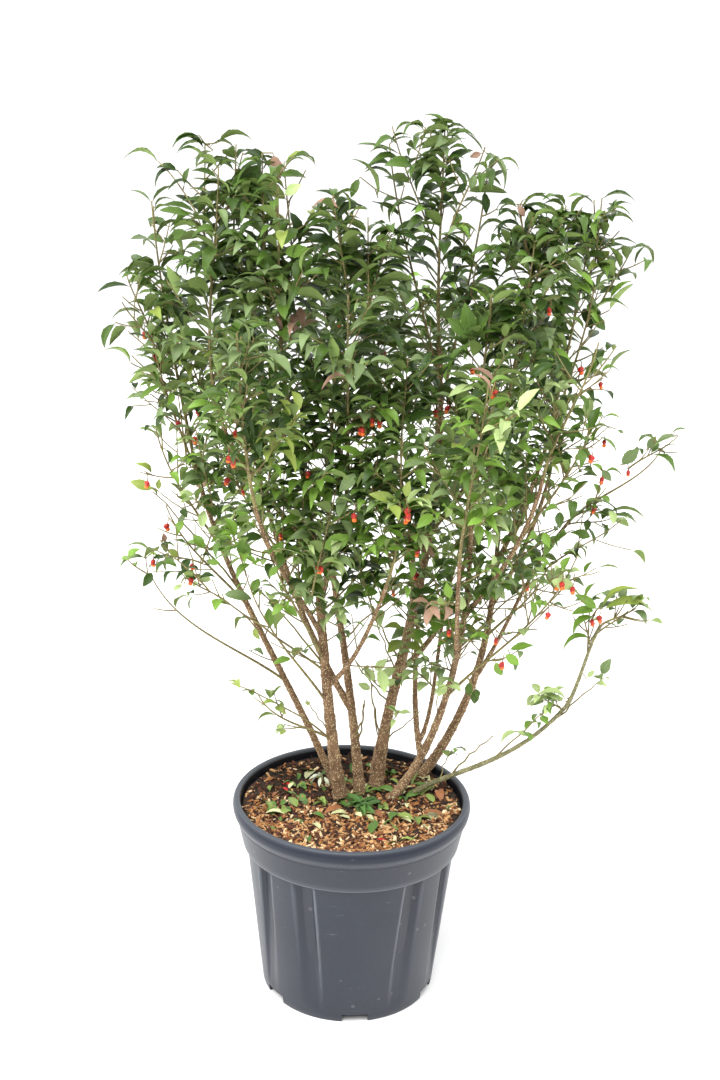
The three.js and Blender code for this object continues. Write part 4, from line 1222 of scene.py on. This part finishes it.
def growShoots(rng):
    # Short leafy shoots with side twigs, each from the limb or twig that is nearest to its start
    knots = np.concatenate([line for line, _ in twigRows] + [limbKnots])
    for row in moreShoots:
        start, end = nearestOf(knots, fromPhoto(*row[:3])), fromPhoto(*row[3:])
        long = np.linalg.norm(end - start)
        curve = curveThrough(start, start + unit(end - start + upWay * long * 0.2) * long * 0.35,
                             end - unit(end - start + upWay * long * 0.4) * long * 0.33, end)
        line = pointAt(curve, np.linspace(0, 1, 11))
        twigRows.append((line, shootRule["radii"]))
        size = growth["leafLength"] * sizeAt(end[2])
        size *= shootRule["leafSizes"][0 if long > shootRule["long"] else 1]
        tint = shootTint(rng, end[2], shootRule["highTintsFrom"])
        leafyLine(rng, line, 0.16, size, shootRule["pairEvery"], tint)
        for k in range(3 if long > shootRule["long"] else 1):
            root, along = pointAt(curve, 0.2 + 0.2 * k), wayAt(curve, 0.2 + 0.2 * k)
            out = sideOf(np.array([1.0, 0.2, 0]), along, k * growth["goldenTurn"] + rng.uniform(0, 1))
            short = long * rng.uniform(*shootRule["twigLength"])
            twig = risingLine(root, unit(out * 0.75 + along * 0.6), short, shootRule["twigLift"])
            twigRows.append((twig, shootRule["twigRadii"]))
            leafyLine(rng, twig, 0.25, size * 0.85, shootRule["twigPairEvery"], tint)
    first, middle, last = [fromPhoto(*place) for place in farLeft]
    line = bentLine((nearestOf(knots, first), middle, last), (0.6, 0.4), 8)
    twigRows.append((line, shootRule["farRadii"]))


def growSideTwigs(rng):
    for limb in limbs.values():
        curve = limb["curve"]
        height, k = sideTwigs["from"] + rng.uniform(0, 40), int(rng.integers(0, 9))
        while height < min(sideTwigs["to"], curve["points"][-1][2] - sideTwigs["bareTop"]):
            share = shareAtHeight(curve, height)
            if share > 0.02:
                root, along = pointAt(curve, share), wayAt(curve, share)
                out = sideOf(np.array([1.0, 0.3, 0]), along, k * growth["goldenTurn"])
                way = unit(out * 0.75 + along * 0.5)
                line = risingLine(root, way, rng.uniform(*sideTwigs["length"]), sideTwigs["lift"])
                if inCrown(line[-1] + way * sideTwigs["leafReach"]):
                    twigRows.append((line, sideTwigs["radii"]))
                    first, size = rng.uniform(0.25, 0.5), sideTwigs["leafLength"] * rng.uniform(0.8, 1.2)
                    tint = shootTint(rng, height, shootRule["highTintsFromOnStems"])
                    leafyLine(rng, line, first, size, sideTwigs["pairEvery"], tint)
            height += sideTwigs["every"] * rng.uniform(0.6, 1.4)
            k += 1


placedDice = np.random.default_rng(77)
growSmallTwigs(placedDice)
growShoots(placedDice)
growSideTwigs(placedDice)
print("with small twigs, leaves:", len(leafRows), "twigs:", len(twigRows))


# The outline of a leaf, and its kinds

leafShape = {
    "width": 0.385, "outlineRoot": 0.9, "outlineTip": 1.15, "teeth": 0.07,
    "foldTurn": 0.8, "dished": 0.12, "waves": 9, "shortened": 0.34, "lifted": 0.42,  # for a fold or arch of 1
    "kinds": [  # fold, arch, twist, wave
        (0.55, 0.36, 0.0, 0.0), (0.70, 0.62, 0.25, 0.05), (0.65, 0.86, -0.2, 0.04),
        (0.45, 0.48, 0.45, 0.07), (0.90, 0.74, -0.4, 0.03), (0.50, 0.20, 0.15, 0.08),
    ],
}


# Leaves that stand out on the front view: root, tip and width there, by tint

seenLeaves = {
    "leaves_green": [
        (159, 162, 127, 154, 6), (199, 135, 177, 147, 6), (210, 145, 181, 154, 7), (217, 143, 249, 141, 8),
        (261, 162, 230, 216, 28), (184, 186, 187, 170, 6), (449, 139, 475, 136, 7), (446, 151, 470, 151, 7),
        (445, 162, 463, 158, 6), (442, 174, 458, 166, 7), (440, 188, 457, 180, 7), (449, 136, 431, 114, 7),
        (523, 200, 550, 201, 8), (526, 204, 549, 217, 8), (472, 339, 465, 306, 14), (472, 339, 490, 312, 12),
        (472, 339, 505, 327, 12), (472, 339, 449, 321, 12), (472, 345, 451, 372, 9), (473, 348, 505, 342, 9),
        (592, 312, 627, 305, 9), (590, 313, 604, 330, 9), (360, 177, 352, 195, 8), (378, 198, 364, 157, 8),
        (179, 479, 210, 475, 15), (240, 540, 250, 555, 14), (241, 558, 242, 541, 13),
        (573, 530, 590, 537, 10),
    ],
    "leaves_deep": [
        (289, 210, 301, 240, 12), (343, 212, 321, 189, 9), (349, 214, 348, 190, 8), (439, 205, 455, 193, 8),
        (484, 190, 486, 211, 8), (467, 181, 458, 193, 7), (415, 615, 432, 600, 13),
    ],
    "leaves_fresh": [
        (282, 253, 307, 249, 12), (322, 549, 350, 536, 15), (450, 600, 447, 585, 10), (206, 561, 218, 563, 9),
        (508, 650, 531, 647, 9), (504, 653, 518, 664, 9), (495, 660, 501, 676, 9), (560, 554, 583, 560, 8),
        (530, 598, 535, 616, 7), (233, 511, 247, 513, 9), (279, 564, 270, 575, 8), (598, 610, 577, 598, 9),
        (596, 611, 573, 615, 8), (595, 616, 570, 632, 10), (591, 638, 563, 645, 9),
    ],
    "leaves_grey": [
        (213, 150, 195, 165, 8), (484, 151, 507, 187, 13), (476, 173, 471, 188, 8), (532, 339, 556, 330, 13),
        (361, 472, 341, 492, 11), (306, 481, 327, 476, 13), (146, 557, 121, 568, 8), (151, 553, 127, 545, 6),
        (620, 465, 638, 450, 12), (646, 450, 655, 438, 8), (655, 444, 675, 437, 7), (670, 434, 687, 431, 5),
        (601, 468, 610, 480, 7), (616, 429, 622, 432, 6), (607, 513, 641, 520, 6), (610, 516, 634, 528, 6),
        (222, 594, 250, 603, 10), (601, 676, 609, 660, 9),
    ],
    "leaves_olive": [
        (399, 502, 372, 498, 10), (396, 495, 393, 484, 7), (406, 499, 408, 483, 10), (420, 501, 430, 496, 8),
        (154, 490, 132, 482, 10), (158, 491, 159, 481, 6), (167, 548, 178, 556, 8), (601, 608, 636, 589, 8),
        (603, 609, 652, 614, 14), (262, 587, 260, 594, 8),
    ],
    "leaves_pale": [
        (283, 196, 299, 185, 10), (462, 612, 462, 598, 12), (177, 493, 192, 494, 7), (549, 580, 574, 586, 12),
        (184, 584, 174, 589, 5), (376, 682, 365, 668, 8), (378, 680, 394, 668, 9), (374, 672, 385, 660, 8),
        (380, 686, 397, 682, 7), (372, 690, 360, 684, 7), (567, 699, 540, 694, 8), (565, 702, 534, 706, 7),
        (543, 703, 547, 712, 7), (518, 731, 502, 741, 6), (515, 731, 527, 736, 5), (586, 678, 593, 672, 6),
    ],
    "leaves_blush": [
        (273, 153, 279, 177, 15), (340, 208, 312, 205, 9), (483, 153, 472, 156, 7), (517, 204, 524, 215, 9),
        (165, 544, 164, 535, 9),
    ],
}
seenRule = {"within": 7.0, "stalkOver": 3, "stalkRadii": (0.9, 0.6)}  # pixels, and millimetres


def placeSeenLeaves():
    # Each hangs on the twig that the front view shows nearest to it, by its own stalk where that is apart
    rng = np.random.default_rng(33)
    limbLines = [limb["curve"]["points"][::4] for limb in limbs.values()]
    knots = np.concatenate([line[1:] for line, _ in twigRows] + limbLines)
    x, y, depth = onPhoto(knots)
    for tint, rows in seenLeaves.items():
        for rootX, rootY, tipX, tipY, width in rows:
            apart = np.hypot(x - rootX, y - rootY)
            close = apart < max(seenRule["within"], apart.min() + 2)
            knot = knots[np.nonzero(close)[0][np.argmin(depth[close])]]
            root = fromPhoto(rootX, rootY, knot[1])
            if np.linalg.norm(root - knot) > seenRule["stalkOver"]:
                twigRows.append((np.linspace(knot, root, 6), seenRule["stalkRadii"]))
            chord = fromPhoto(tipX, tipY, knot[1] - 4) - root
            shownLong = math.hypot(tipX - rootX, tipY - rootY)
            facing = clamped((width / shownLong - 0.25) / 0.2)
            long = np.linalg.norm(chord) / (0.8 + 0.15 * facing)
            way = unit(chord + upWay * np.linalg.norm(chord) * leafShape["lifted"] * (1 - facing))
            aside = unit(np.cross(way, upWay))
            sight = unit(root - np.array(cameraSetup["place"]))
            across = unit(np.cross(way, sight))
            if np.cross(across, way).dot(sight) > 0:
                across = -across
            turn = math.atan2(across.dot(np.cross(aside, way)), across.dot(aside))
            wide = min(max(width / shownLong / leafShape["width"] * 1.1, 0.8), 1.4)
            kind = int(rng.choice([0, 5] if facing > 0.5 else [1, 2]))
            leafRows.append((root, way, turn * facing + rng.normal(0, 0.2), long, wide, kind,
                             tintNames.index(tint), rng.uniform(0.3, 0.8)))


def dropBareTwigs():
    # A fine twig that lost its leaves and carries no other twig is dropped
    held = np.array([row[0] for row in leafRows])
    kept = []
    for line, thick in reversed(twigRows):
        bare = thick in fineTwigs and min(np.linalg.norm(held - knot, axis=1).min() for knot in line[1:]) > 10
        if not bare:
            kept.append((line, thick))
            if thick == fineTwigs[1]:
                held = np.concatenate([held, line[:1]])
    twigRows[:] = kept[::-1]


placeSeenLeaves()
dropBareTwigs()
print("twigs kept:", len(twigRows))


# Leaf templates: a grid in a leaf's outline, folded along its middle, arched and twisted

def leafTemplate(across, along, fold, arch, twist, wave):
    bm = bmesh.new()
    bmesh.ops.create_grid(bm, x_segments=across, y_segments=along, size=1)
    shape = leafShape
    rootEnd, tipEnd = shape["outlineRoot"], shape["outlineTip"]
    peak = rootEnd / (rootEnd + tipEnd)
    most = peak ** rootEnd * (1 - peak) ** tipEnd
    for v in bm.verts:
        u, t = v.co.x, (v.co.y + 1) / 2
        row = round(t * along)
        half = shape["width"] / 2 * (t ** rootEnd * (1 - t) ** tipEnd) / most
        if abs(u) > 0.99 and 0 < row < along:
            half *= 1 + shape["teeth"] * (1 if row % 2 else -1)
        x = u * half * math.cos(fold * shape["foldTurn"])
        z = abs(u) * half * math.sin(fold * shape["foldTurn"]) - shape["dished"] * half * u * u
        z += wave * math.sin(shape["waves"] * t) * half * u
        near, aside = math.cos(twist * t), math.sin(twist * t)
        x, z = x * near - z * aside, x * aside + z * near
        y = t - shape["shortened"] * arch * t ** 3
        v.co = (x, y, z - arch * t * t + shape["lifted"] * arch * t)
    bmesh.ops.remove_doubles(bm, verts=bm.verts, dist=1e-4)
    return templateOf(bm)


def bladeValues(template, tones):
    # Across and along the blade, and a number for each leaf
    points = template["points"]
    values = np.empty((len(tones), len(points), 3))
    values[:, :, 0] = points[None, :, 0] / (leafShape["width"] / 2)
    values[:, :, 1] = points[None, :, 1]
    values[:, :, 2] = tones[:, None]
    return values.reshape(-1, 3)


def makeBladeGroup():
    # A paler midrib, and tones that differ a little from leaf to leaf
    group, given, made = newGroup(
        "bladeTint", [("Color", "Color", (0.1, 0.2, 0.05, 1)), ("Rib Color", "Color", (0.3, 0.35, 0.15, 1)),
                      ("Rib", "Float", 0.4), ("Spread", "Float", 0.35)],
        [("Color", "Color"), ("Height", "Float")])
    place = put(group, "Attribute", attribute_name="blade").outputs["Vector"]
    parted = put(group, "SeparateXYZ", {0: place}).outputs
    aside = figured(group, "ABSOLUTE", parted[0])
    rib = ramp(group, aside, [(0.0, 1.0), (0.09, 0.0)])
    level = mapped(group, parted[2], toLow=0.6, toHigh=1.42)
    varied = put(group, "HueSaturation", {"Value": level, "Color": given.outputs["Color"]}).outputs[0]
    shown = blended(group, given.outputs["Spread"], given.outputs["Color"], varied)
    shown = blended(group, times(group, rib, given.outputs["Rib"]), shown, given.outputs["Rib Color"])
    feed(group, shown, made.inputs["Color"])
    slant = figured(group, "SUBTRACT", parted[1], times(group, aside, 0.22))
    slanted = put(group, "CombineXYZ", {1: slant}).outputs[0]
    veins = put(group, "TexWave", {"Vector": slanted, "Scale": 5.2, "Distortion": 0.0}, wave_type="BANDS",
                bands_direction="Y")
    feed(group, figured(group, "ADD", times(group, veins.outputs[1], 0.5), rib), made.inputs["Height"])
    return group


bladeGroup = makeBladeGroup()


def makeLeafMaterial(name, colour, ribColour, roughness):
    material, tree, shader = newMaterial(name, roughness, 0.3)
    values = {"Color": colour, "Rib Color": ribColour, "Rib": 0.35, "Spread": 0.8}
    blade = put(tree, "Group", values, node_tree=bladeGroup)
    feed(tree, blade.outputs["Color"], shader.inputs["Base Color"])
    placeBump(tree, shader, blade.outputs["Height"], 0.35, 0.0004)
    return material


def leafFrames(rows):
    ways = np.array([row[1] for row in rows])
    across = np.cross(ways, upWay)
    across /= np.maximum(np.linalg.norm(across, axis=1), 1e-6)[:, None]
    tilt = np.array([row[2] for row in rows])[:, None]
    above = np.cross(across, ways)
    turnedAcross = across * np.cos(tilt) + above * np.sin(tilt)
    return np.stack([turnedAcross, ways, np.cross(turnedAcross, ways)], axis=1)


def leafMesh(name, rows, across, along, under=0.0):
    kinds = leafShape["kinds"]
    templates = [leafTemplate(across, along, *kind) for kind in kinds]
    frames = leafFrames(rows)
    roots = np.array([row[0] + row[1] * growth["stalk"] for row in rows])
    roots = roots - frames[:, 2] * under
    length, wide, kindOf, tones = [np.array([row[k] for row in rows]) for k in (3, 4, 5, 7)]
    sizes = np.stack([length * wide, length, length], axis=1)
    parts, values = [], []
    for k, template in enumerate(templates):
        pick = kindOf == k
        if pick.any():
            parts.append(copiesOf(template, roots[pick], frames[pick], sizes[pick]))
            values.append(bladeValues(template, tones[pick]))
    if under:
        parts = [(points, [face[::-1] for face in faces]) for points, faces in parts]
    return joinedMesh(name, parts, "blade", values)


def leafPiece(name, rows, material):
    return finished(name, leafMesh(name, rows, 4, 8), material)


def ribbedMaterial(name, colour, paler, roughness):
    upper = tone(*colour)
    return makeLeafMaterial(name, upper, tuple(min(1, c * paler + 0.03) for c in upper[:3]) + (1,), roughness)


def makeLeaves():
    foliage = [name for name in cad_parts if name.startswith("foliage")]
    for index, (name, (_, _, colour)) in enumerate(tints.items()):
        rows = [row for row in leafRows if row[6] == index]
        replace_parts(leafPiece(name, rows, ribbedMaterial(name, colour, 1.7, 0.42)), *foliage)
    pale = makeLeafMaterial("leaf_underside", tone(128, 150, 82), tone(162, 176, 118), 0.6)
    half = len(leafRows) // 2
    for name, rows in (("leaf_undersides_a", leafRows[:half]), ("leaf_undersides_b", leafRows[half:])):
        finished(name, leafMesh(name, rows, 2, 6, 0.35), pale)


def makeTwigs():
    parts, grains = [], []
    for line, (thick, thin) in twigRows:
        radii = np.linspace(thick, max(thin, leastTwig), len(line))
        placed, faces, rows, angles = tubeAlong(line, radii, 7 if thick > 1.5 else 5)
        run = np.concatenate([[0], np.cumsum(np.linalg.norm(np.diff(line, axis=0), axis=1))])
        parts.append((placed, faces))
        grains.append(np.stack([np.cos(angles) * thick, np.sin(angles) * thick, run[rows]], axis=1) * mm)
    material = makeBarkMaterial("young_bark", tone(150, 142, 92), tone(120, 104, 70), tone(200, 192, 150),
                                0.25, 0.0003)
    finished("shoots_and_twigs", joinedMesh("shoots_and_twigs", parts, "grain", grains), material)


stalkMaterial = mottledMaterial("stalk_green", tone(140, 142, 84), tone(120, 112, 70), 40, 300, 0.6)


def makeStalks():
    bm = bmesh.new()
    bmesh.ops.create_cone(bm, cap_ends=False, segments=3, radius1=1, radius2=0.8, depth=1)
    bmesh.ops.rotate(bm, verts=bm.verts, cent=(0, 0, 0), matrix=Matrix.Rotation(-math.pi / 2, 3, "X"))
    bmesh.ops.translate(bm, verts=bm.verts, vec=(0, 0.5, 0))
    stalk = templateOf(bm)
    roots = np.array([row[0] for row in leafRows])
    long = growth["stalk"] + np.array([row[3] for row in leafRows]) * 0.05
    thick = np.full(len(long), 0.55)
    sizes = np.stack([thick, long, thick], axis=1)
    mesh = joinedMesh("leaf_stalks", [copiesOf(stalk, roots, leafFrames(leafRows), sizes)])
    finished("leaf_stalks", mesh, stalkMaterial)


# Fruit: open red capsules with an orange seed coat, that hang on thin stalks. Those that the front view
# shows are hung from the twig that lies nearest the camera there, and others are spread round the rest

fruitShape = {
    "length": 8.4, "width": 8.0, "stalk": 11.0, "seed": 6.6, "others": 40, "heights": (560, 1000),
    "roundFrom": (60, 220),  # the others hang behind this depth, or farther out than this
    # pixels: the twig over the fruit, the search round it, and the leaves that give way
    "above": 11, "within": 11, "cleared": 10,
}
fruitSpots = [
    (480, 372), (500, 384), (545, 318), (443, 413), (367, 411), (351, 432), (378, 434), (232, 442),
    (228, 470), (235, 495), (189, 434), (302, 470), (284, 547), (317, 570), (409, 516), (404, 525),
    (422, 568), (363, 522), (603, 488), (601, 517), (498, 648), (502, 667), (588, 631), (445, 640),
    (147, 493), (251, 678), (260, 683), (236, 450), (231, 482), (415, 520), (312, 566), (441, 418),
    (357, 437), (425, 560),
]


def capsuleTemplate():
    bm = bmesh.new()
    bmesh.ops.create_uvsphere(bm, u_segments=8, v_segments=5, radius=0.5)
    for v in bm.verts:
        lobe = 1 + 0.22 * math.cos(2 * math.atan2(v.co.y, v.co.x))
        v.co.x *= lobe * (1.0 if v.co.z > 0 else 0.75)
        v.co.y *= 0.8
    return templateOf(bm)


def seedTemplate():
    bm = bmesh.new()
    bmesh.ops.create_icosphere(bm, subdivisions=1, radius=0.5)
    return templateOf(bm)


def hangFruit():
    # The twig nearest the camera at each spot; the leaves that would hide the fruit are left out
    rng = np.random.default_rng(5)
    knots = np.concatenate([line[1:] for line, _ in twigRows if len(line) < 20])
    x, y, depth = onPhoto(knots)
    middles = np.array([row[0] + row[1] * row[3] * 0.5 for row in leafRows])
    leafX, leafY, leafDepth = onPhoto(middles)
    hidden = np.zeros(len(leafRows), bool)
    hung = []
    for spotX, spotY in fruitSpots:
        near = np.hypot(x - spotX, y - (spotY - fruitShape["above"])) < fruitShape["within"]
        if near.any():
            chosen = np.nonzero(near)[0][np.argmin(depth[near])]
            hung.append(knots[chosen])
            close = np.hypot(leafX - x[chosen], leafY - y[chosen] - 12) < fruitShape["cleared"]
            hidden |= close & (leafDepth < depth[chosen])
    low, high = fruitShape["heights"]
    middle = knots[(knots[:, 2] > low) & (knots[:, 2] < high)]
    behind, beside = fruitShape["roundFrom"]
    far = middle[(middle[:, 1] > behind) | (np.abs(middle[:, 0]) > beside)]
    hung += list(far[rng.choice(len(far), fruitShape["others"], replace=False)])
    leafRows[:] = [row for row, gone in zip(leafRows, hidden) if not gone]
    return hung


def makeFruit(hung):
    rng = np.random.default_rng(6)
    hung = np.array(hung)
    count = len(hung)
    stalks = []
    ends = hung + np.stack([rng.uniform(-3, 3, count), rng.uniform(-3, 3, count),
                            -fruitShape["stalk"] * rng.uniform(0.8, 1.4, count)], axis=1)
    for top, end in zip(hung, ends):
        bend = top * 0.5 + end * 0.5 + np.array([1.2, 0.6, 0.8])
        stalks.append(tubeAlong([top, bend, end], [0.65, 0.6, 0.7], 4)[:2])
    stalkColour = mottledMaterial("fruit_stalk", tone(136, 84, 56), tone(104, 104, 54), 60, 300, 0.6)
    finished("fruit_stalks", joinedMesh("fruit_stalks", stalks), stalkColour)
    frames = lyingFrames(rng, count, 0.25)
    big = rng.uniform(0.85, 1.15, count)[:, None]
    sizes = np.array([fruitShape["width"], fruitShape["width"], fruitShape["length"]]) * big
    red = mottledMaterial("capsule_red", tone(150, 22, 24), tone(198, 46, 32), 160, 500, 0.42)
    capsules = copiesOf(capsuleTemplate(), ends - upWay * fruitShape["length"] * 0.35, frames, sizes)
    finished("fruit_capsules", joinedMesh("fruit_capsules", [capsules]), red)
    orange = mottledMaterial("seed_orange", tone(244, 92, 30), tone(250, 132, 48), 200, 600, 0.35)
    below = ends - upWay * fruitShape["length"] * 0.85 + frames[:, 0] * 1.4
    seeds = copiesOf(seedTemplate(), below, frames, np.full((count, 3), fruitShape["seed"]) * big)
    finished("fruit_seeds", joinedMesh("fruit_seeds", [seeds]), orange)
    print("fruit hung:", count)


hungFruit = hangFruit()
makeFruit(hungFruit)


# What lies on the mix: fallen leaves, a low tuft of narrow leaves, a pale withered spray and red scraps

litter = {
    "leaves": 128, "within": 157, "tuftLeaves": 26, "tuft": (14, 4), "withered": (-47, 77),
    "witheredLeaves": 7, "reds": [(-109, 60), (-92, 62), (34, -93)],
    "fallen": {  # share of the leaves, and colour
        "fallen_green": (0.42, (84, 116, 50)), "fallen_fresh": (0.3, (124, 144, 72)),
        "fallen_pale": (0.2, (186, 188, 142)), "fallen_dry": (0.08, (150, 98, 62)),
    },
}


def lyingLeaf(rng, x, y, size):
    yaw = rng.uniform(0, 2 * math.pi)
    root = np.array([x, y, soilAt(x, y) + 2.6])
    way = unit([math.cos(yaw), math.sin(yaw), rng.uniform(0.0, 0.25)])
    tilt, wide = rng.normal(0, 0.3), rng.uniform(0.9, 1.3)
    return (root, way, tilt, size, wide, int(rng.integers(0, 6)), 0, rng.random())


def insidePot(row):
    tip = row[0] + row[1] * (row[3] + 4)
    return max(math.hypot(*tip[:2]), math.hypot(*row[0][:2])) < litter["within"]


def makeLitter():
    rng = np.random.default_rng(21)
    for name, (share, colour) in litter["fallen"].items():
        rows = []
        while len(rows) < round(litter["leaves"] * share):
            x, y = rng.uniform(-140, 140, 2)
            if math.hypot(x, y) > 150 or (y < -50 and rng.random() < 0.7):
                continue
            row = lyingLeaf(rng, x, y, rng.uniform(17, 40))
            if insidePot(row):
                rows.append(row)
        leafPiece(name, rows, ribbedMaterial(name, colour, 1.5, 0.5))
    rows = []
    for k in range(litter["tuftLeaves"]):
        yaw = k * growth["goldenTurn"]
        x, y = litter["tuft"]
        x, y = x + rng.normal(0, 5), y + rng.normal(0, 5)
        way = unit([math.cos(yaw), math.sin(yaw), rng.uniform(0.35, 1.1)])
        rows.append((np.array([x, y, soilAt(x, y) - 1.0]), way, rng.normal(0, 0.3), rng.uniform(18, 38), 0.72,
                     int(rng.integers(0, 3)), 0, rng.random()))
    dark = makeLeafMaterial("tuft_green", tone(70, 106, 46), tone(112, 142, 84), 0.5)
    leafPiece("low_tuft", rows, dark)
    rows = []
    for k in range(litter["witheredLeaves"]):
        x, y = litter["withered"]
        yaw = k * 0.9
        root = np.array([x + 4 * math.cos(yaw), y + 4 * math.sin(yaw), soilAt(x, y) + 16])
        way = unit([math.cos(yaw), math.sin(yaw), -0.7])
        rows.append((root, way, rng.normal(0, 0.5), rng.uniform(16, 26), 0.9, int(rng.integers(0, 6)), 0,
                     rng.random()))
    pale = makeLeafMaterial("withered_pale", tone(206, 210, 186), tone(226, 226, 206), 0.6)
    leafPiece("withered_spray", rows, pale)
    stem = tubeAlong([(x, y, soilAt(x, y) - 2), (x + 2, y - 1, soilAt(x, y) + 8), (x, y, soilAt(x, y) + 17)],
                     [0.9, 0.8, 0.6], 5)
    finished("withered_stem", joinedMesh("withered_stem", [stem[:2]]), stalkMaterial)
    rows = []
    for x, y in litter["reds"]:
        rows += [lyingLeaf(rng, x, y, 15), lyingLeaf(rng, x + 5, y + 4, 10)]
    red = makeLeafMaterial("fallen_red", tone(178, 44, 40), tone(200, 90, 70), 0.5)
    leafPiece("fallen_red", rows, red)


makeLitter()
print("fruit and litter made")
makeLeaves()
makeTwigs()
makeStalks()
print("foliage made:", len(leafRows), "leaves")


# Stage and light

lights = {
    "key": [(-0.25, -0.7, 1.3), 3.65, 50], "left": [(-1.0, -0.3, 0.5), 2.4, 70],
    "right": [(1.0, -0.2, 0.5), 1.5, 70], "back": [(0.2, 1.0, 0.9), 0.8, 60],
}
room = {"front": 0.38, "back": 1.15, "shown": 1.2, "ceiling": 0.45}


def makeRoom():
    # Paper white where it is seen, and darker in front, where a studio's room is, for what it lights
    world = bpy.data.worlds.new("white_room")
    world.use_nodes = True
    tree = world.node_tree
    sky = tree.nodes["Background"]
    sky.inputs["Color"].default_value = (1, 1, 1, 1)
    parted = put(tree, "SeparateXYZ", {0: put(tree, "TexCoord").outputs["Generated"]}).outputs
    level = mapped(tree, parted[1], -0.7, 0.3, room["front"], room["back"])
    ceiling = mapped(tree, parted[2], 0.35, 0.85, 1.0, room["ceiling"])
    seen = put(tree, "LightPath").outputs["Is Camera Ray"]
    shown = mapped(tree, seen, toLow=times(tree, level, ceiling), toHigh=room["shown"])
    feed(tree, shown, sky.inputs["Strength"])
    return world


def makeStage():
    bm = bmesh.new()
    bmesh.ops.create_grid(bm, x_segments=2, y_segments=2, size=6)
    mesh = meshOf(bm, "floor")
    floor = linked("floor", mesh)
    material, tree, shader = newMaterial("white_floor", 0.6, 0.2)
    mottle = placeMottle(tree, (0.88, 0.88, 0.88, 1), (0.86, 0.86, 0.86, 1), 2, 20)
    feed(tree, mottle.outputs["Color"], shader.inputs["Base Color"])
    mesh.materials.append(material)
    bpy.context.scene.world = makeRoom()
    for name, (place, strength, angle) in lights.items():
        data = bpy.data.lights.new(name, "SUN")
        data.energy, data.angle = strength, math.radians(angle)
        light = linked(name, data)
        light.rotation_euler = (-Vector(place)).to_track_quat("-Z", "Y").to_euler()
    bpy.context.scene.view_settings.view_transform = "Standard"


makeStage()
print("stage made")
